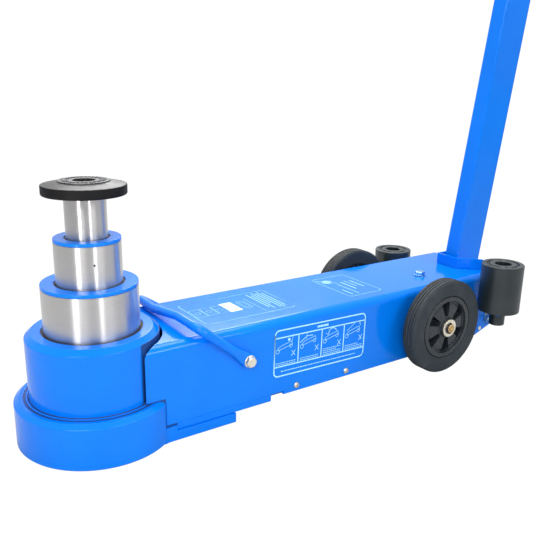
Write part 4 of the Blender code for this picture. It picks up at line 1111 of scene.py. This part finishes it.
def pictogram(label, u, v, kind):
    """Generic line drawing of a low jack: wheels, body, foot, and a mark that differs by cell."""
    fine = 0.55
    tilt = radians(14)

    def tilted(points):
        return [(u + a * cos(tilt) - b * sin(tilt), v + a * sin(tilt) + b * cos(tilt)) for a, b in points]

    def draw(points, width=fine):
        label.path(tilted(points), width)

    draw([(-13, -2), (12, -2), (12, 3), (-7, 3), (-13, 1), (-13, -2)])
    draw(arc((-14, -3), 3.0, 0, 360, 12))
    draw(arc((9, -3.4), 2.4, 0, 360, 10))
    if kind == 0:
        draw([(12, 3), (17, 12)])
        label.fill(tilted(arc((8, 7), 2.2, 0, 330, 11)))
    elif kind == 1:
        draw([(-16, 4), (-2, 9), (8, 6)], fine * 1.6)
        draw([(-4, 5), (-1, 13)])
    elif kind == 2:
        draw(arc((2, 4), 7.5, 10, 170, 10), fine * 1.8)
        draw([(-6, 4), (-10, 9)])
    else:
        draw([(-12, 5), (6, 12), (14, 10)])
        draw([(14, 10), (14, 4)], fine * 1.8)


def make_side_label():
    half_u, half_v = 83.6, 35.2
    head, base = 23.3, -19.9
    width = 1.75
    label = Label("side_label", "side", (308.6, 81.4), -1.3)
    label.frame(half_u, half_v, 8.0, width)
    edge, rule = half_u - width / 2, width * 0.9
    for v in (head, base):
        label.line((-edge, v), (edge, v), rule)
    rows = (2, 2, 4, 3)
    cell = 2 * half_u / len(rows)
    for k in range(1, len(rows)):
        label.line((-half_u + cell * k, head), (-half_u + cell * k, base), rule)
    for k in range(len(rows)):
        middle = -half_u + cell * (k + 0.5)
        pictogram(label, middle - 2, head - 13.5, k)
        cross_u, cross_v = middle + 12.4, base + 17.0
        for way in (-1, 1):
            label.line((cross_u - 3.1, cross_v - 4.0 * way), (cross_u + 3.1, cross_v + 4.0 * way), 0.8)
        for row in range(rows[k]):
            reach = cell - 8 - (9 if row % 3 == 2 else 0)
            label.words((middle - cell / 2 + 3.5, base + 2.2 + 2.9 * row), reach, 0.9, 5 * k + row)
    label.words((-9, head + 3.7), 20, 3.0, 2, 0.7)
    label.words((-half_u + 13, base - 8.2), 2 * half_u - 30, 1.1, 9)
    label.done(INK)


FRONT_BARS = ((-27, 37), (-33, 30), (-14, 39), (-34, 36), (-36, 39), (-30, 33))
REAR_BARS = ((21.0, -19, 17, 2.4), (11.5, -12, 20, 1.6), (2.0, -22, 17, 2.4), (-9.5, -42, 11, 1.6),
             (-21.5, -42, -16, 2.0))


def make_top_labels():
    """Three labels on the roof, with bars where the lines of print would be."""
    front_centre = (213.5, -0.5)
    label = Label("top_label_front", "top", front_centre)
    label.frame(73.5, 44.5, 6.0, 0.9)
    for k in range(3):
        middle = (-62.4 + 17.7 * k, 1.5)
        label.frame(8.4, 15.5, 0.8, 0.6, middle)
        label.path(arc(middle, 4.0, 0, 360, 12), 0.5)
    label.frame(6.5, 17.0, 6.0, 0.6, (13.5, 1.0))
    label.frame(3.2, 12.5, 3.0, 0.5, (13.5, 1.0))
    label.line((26.0, -38), (26.0, 23), 0.6)
    for k, (start, stop) in enumerate(FRONT_BARS):
        u = 38.0 + 5.2 * k
        label.bar(u, u + 1.6, start, stop)
    label.done(PALE_INK)

    label = Label("top_label_block", "top", front_centre)
    label.bar(-19.0, 0.5, -16.5, 20.5)
    label.done(WHITE_INK)

    label = Label("top_label_rear", "top", (417.5, -3.5))
    label.frame(33.5, 49.0, 6.5, 1.0)
    label.fill(arc((-17.5, 28.0), 8.5, 0, 340, 16))
    label.line((-30, 40), (-6, 16), 1.8)
    for u, start, stop, thick in REAR_BARS:
        label.bar(u - thick / 2, u + thick / 2, start, stop)
    label.done(PALE_INK)


# ---------- studio


BACKDROP = 1.05
ROOM_FRONT, ROOM_BACK = 0.30, 0.80
ROOM_WAY = (0.56, 0.80, 0.25)
CAMERA_AT = (-0.2697, -0.7825, 0.4530)
CAMERA_YAW, CAMERA_DIP, CAMERA_ROLL = radians(35.09), radians(16.49), radians(1.19)
LENS, SENSOR = 44.04, 36.0
SOFTBOXES = (
    ("key", (-1.9, -2.2, 2.3), (0.15, 0, 0.1), (1.2, 1.6), 52),
    ("side", (1.1, -2.8, 1.6), (0.35, 0, 0.1), (1.4, 1.0), 28),
    ("top", (0.5, 0.5, 2.8), (0.3, 0, 0), (2.4, 1.6), 64),
    ("rim", (1.4, 2.4, 1.7), (0.3, 0, 0.2), (1.6, 0.8), 26),
)


def white_to_camera(tree, kind, lit, surface):
    """Shows the camera plain white. Every other ray meets the shader given as `lit`."""
    white = tree.nodes.new(kind)
    set_inputs(white, Color=(1, 1, 1, 1), Strength=BACKDROP)
    path = tree.nodes.new("ShaderNodeLightPath")
    mix = tree.nodes.new("ShaderNodeMixShader")
    tree.links.new(path.outputs["Is Camera Ray"], mix.inputs["Fac"])
    tree.links.new(lit, mix.inputs[1])
    tree.links.new(white.outputs[0], mix.inputs[2])
    tree.links.new(mix.outputs["Shader"], surface)


def make_floor():
    """White to the camera; a mid-grey card for the light that it throws back at the jack."""
    bm = bmesh.new()
    size, depth = 30000.0, -0.2
    corners = ((-size, -size), (size, -size), (size, size), (-size, size))
    bm.faces.new([bm.verts.new((x, y, depth)) for x, y in corners])
    card = Finish("studio_card", (0.5, 0.5, 0.5), 0.9, Specular_IOR_Level=0.0)
    surface = card.tree.nodes["Material Output"].inputs["Surface"]
    white_to_camera(card.tree, "ShaderNodeEmission", card.shader.outputs["BSDF"], surface)
    to_object("studio_floor", bm, card.material)


def softbox(name, position, aim, size, power):
    light = bpy.data.lights.new(name, "AREA")
    light.shape = "RECTANGLE"
    light.size, light.size_y = size
    light.energy = power
    obj = bpy.data.objects.new(name, light)
    obj.location = position
    obj.rotation_euler = (Vector(aim) - Vector(position)).to_track_quat("-Z", "Y").to_euler()
    bpy.context.scene.collection.objects.link(obj)


def make_world():
    """White to the camera. What lights the jack is bright behind it and greyer behind the camera."""
    world = bpy.data.worlds.new("studio")
    world.use_nodes = True
    tree = world.node_tree
    tree.nodes.clear()
    ways = tree.nodes.new("ShaderNodeTexCoord")
    dot = tree.nodes.new("ShaderNodeVectorMath")
    dot.operation = "DOT_PRODUCT"
    dot.inputs[1].default_value = ROOM_WAY
    spread = tree.nodes.new("ShaderNodeMapRange")
    set_inputs(spread, From_Min=-0.7, From_Max=0.7, To_Min=ROOM_FRONT, To_Max=ROOM_BACK)
    room = tree.nodes.new("ShaderNodeBackground")
    set_inputs(room, Color=(0.95, 0.97, 1.0, 1))
    out = tree.nodes.new("ShaderNodeOutputWorld")
    tree.links.new(ways.outputs["Generated"], dot.inputs[0])
    tree.links.new(dot.outputs["Value"], spread.inputs["Value"])
    tree.links.new(spread.outputs["Result"], room.inputs["Strength"])
    white_to_camera(tree, "ShaderNodeBackground", room.outputs["Background"], out.inputs["Surface"])
    bpy.context.scene.world = world


def strip(name, turn, wide, power, radius=0.74, height=1.1):
    """Tall softbox standing round the rams, `turn` degrees from the camera's side of them."""
    towards = atan2(CAMERA_AT[1], CAMERA_AT[0]) + radians(turn)
    x, y, middle = radius * cos(towards), radius * sin(towards), height / 2
    chord = 2 * radius * sin(radians(wide / 2))
    softbox(name, (x, y, middle), (0, 0, middle), (chord, height), power)


def make_lights():
    for light in SOFTBOXES:
        softbox(*light)
    strip("strip_left", -34, 12, 2.2)
    strip("strip_right", 22, 7, 1.2)


def make_camera():
    forward = Vector((sin(CAMERA_YAW) * cos(CAMERA_DIP), cos(CAMERA_YAW) * cos(CAMERA_DIP), -sin(CAMERA_DIP)))
    right = Vector((cos(CAMERA_YAW), -sin(CAMERA_YAW), 0))
    up = right.cross(forward)
    c, s = cos(CAMERA_ROLL), sin(CAMERA_ROLL)
    right, up = c * right + s * up, -s * right + c * up
    data = bpy.data.cameras.new("camera")
    data.lens, data.sensor_width = LENS, SENSOR
    data.clip_start, data.clip_end = 0.02, 100
    camera = bpy.data.objects.new("camera", data)
    turn = Matrix((right, up, -forward)).transposed()
    camera.matrix_world = Matrix.Translation(CAMERA_AT) @ turn.to_4x4()
    bpy.context.scene.collection.objects.link(camera)
    bpy.context.scene.camera = camera
    bpy.context.scene.view_settings.view_transform = "Standard"


def main():
    finish_cad_nodes()
    make_foot()
    make_barrel()
    make_gap_shade()
    make_rams()
    make_spring()
    make_saddle()
    make_body()
    make_bottom_plate()
    make_filler()
    make_side_screws()
    make_rear_hardware()
    make_carry_handle()
    for side_name, side in SIDES.items():
        make_tyre(side_name, side)
        make_hub(side_name, side)
        make_wheel_fixings(side_name, side)
        make_adapter_bracket(side_name, side)
    make_axle()
    make_adapters()
    make_handle_tube()
    make_handle_bracket()
    make_pivot()
    make_crossbar()
    for node, width in CAD_EDGES.items():
        soften_cad(node, width)
    make_side_label()
    make_top_labels()
    make_floor()
    make_world()
    make_lights()
    make_camera()


main()
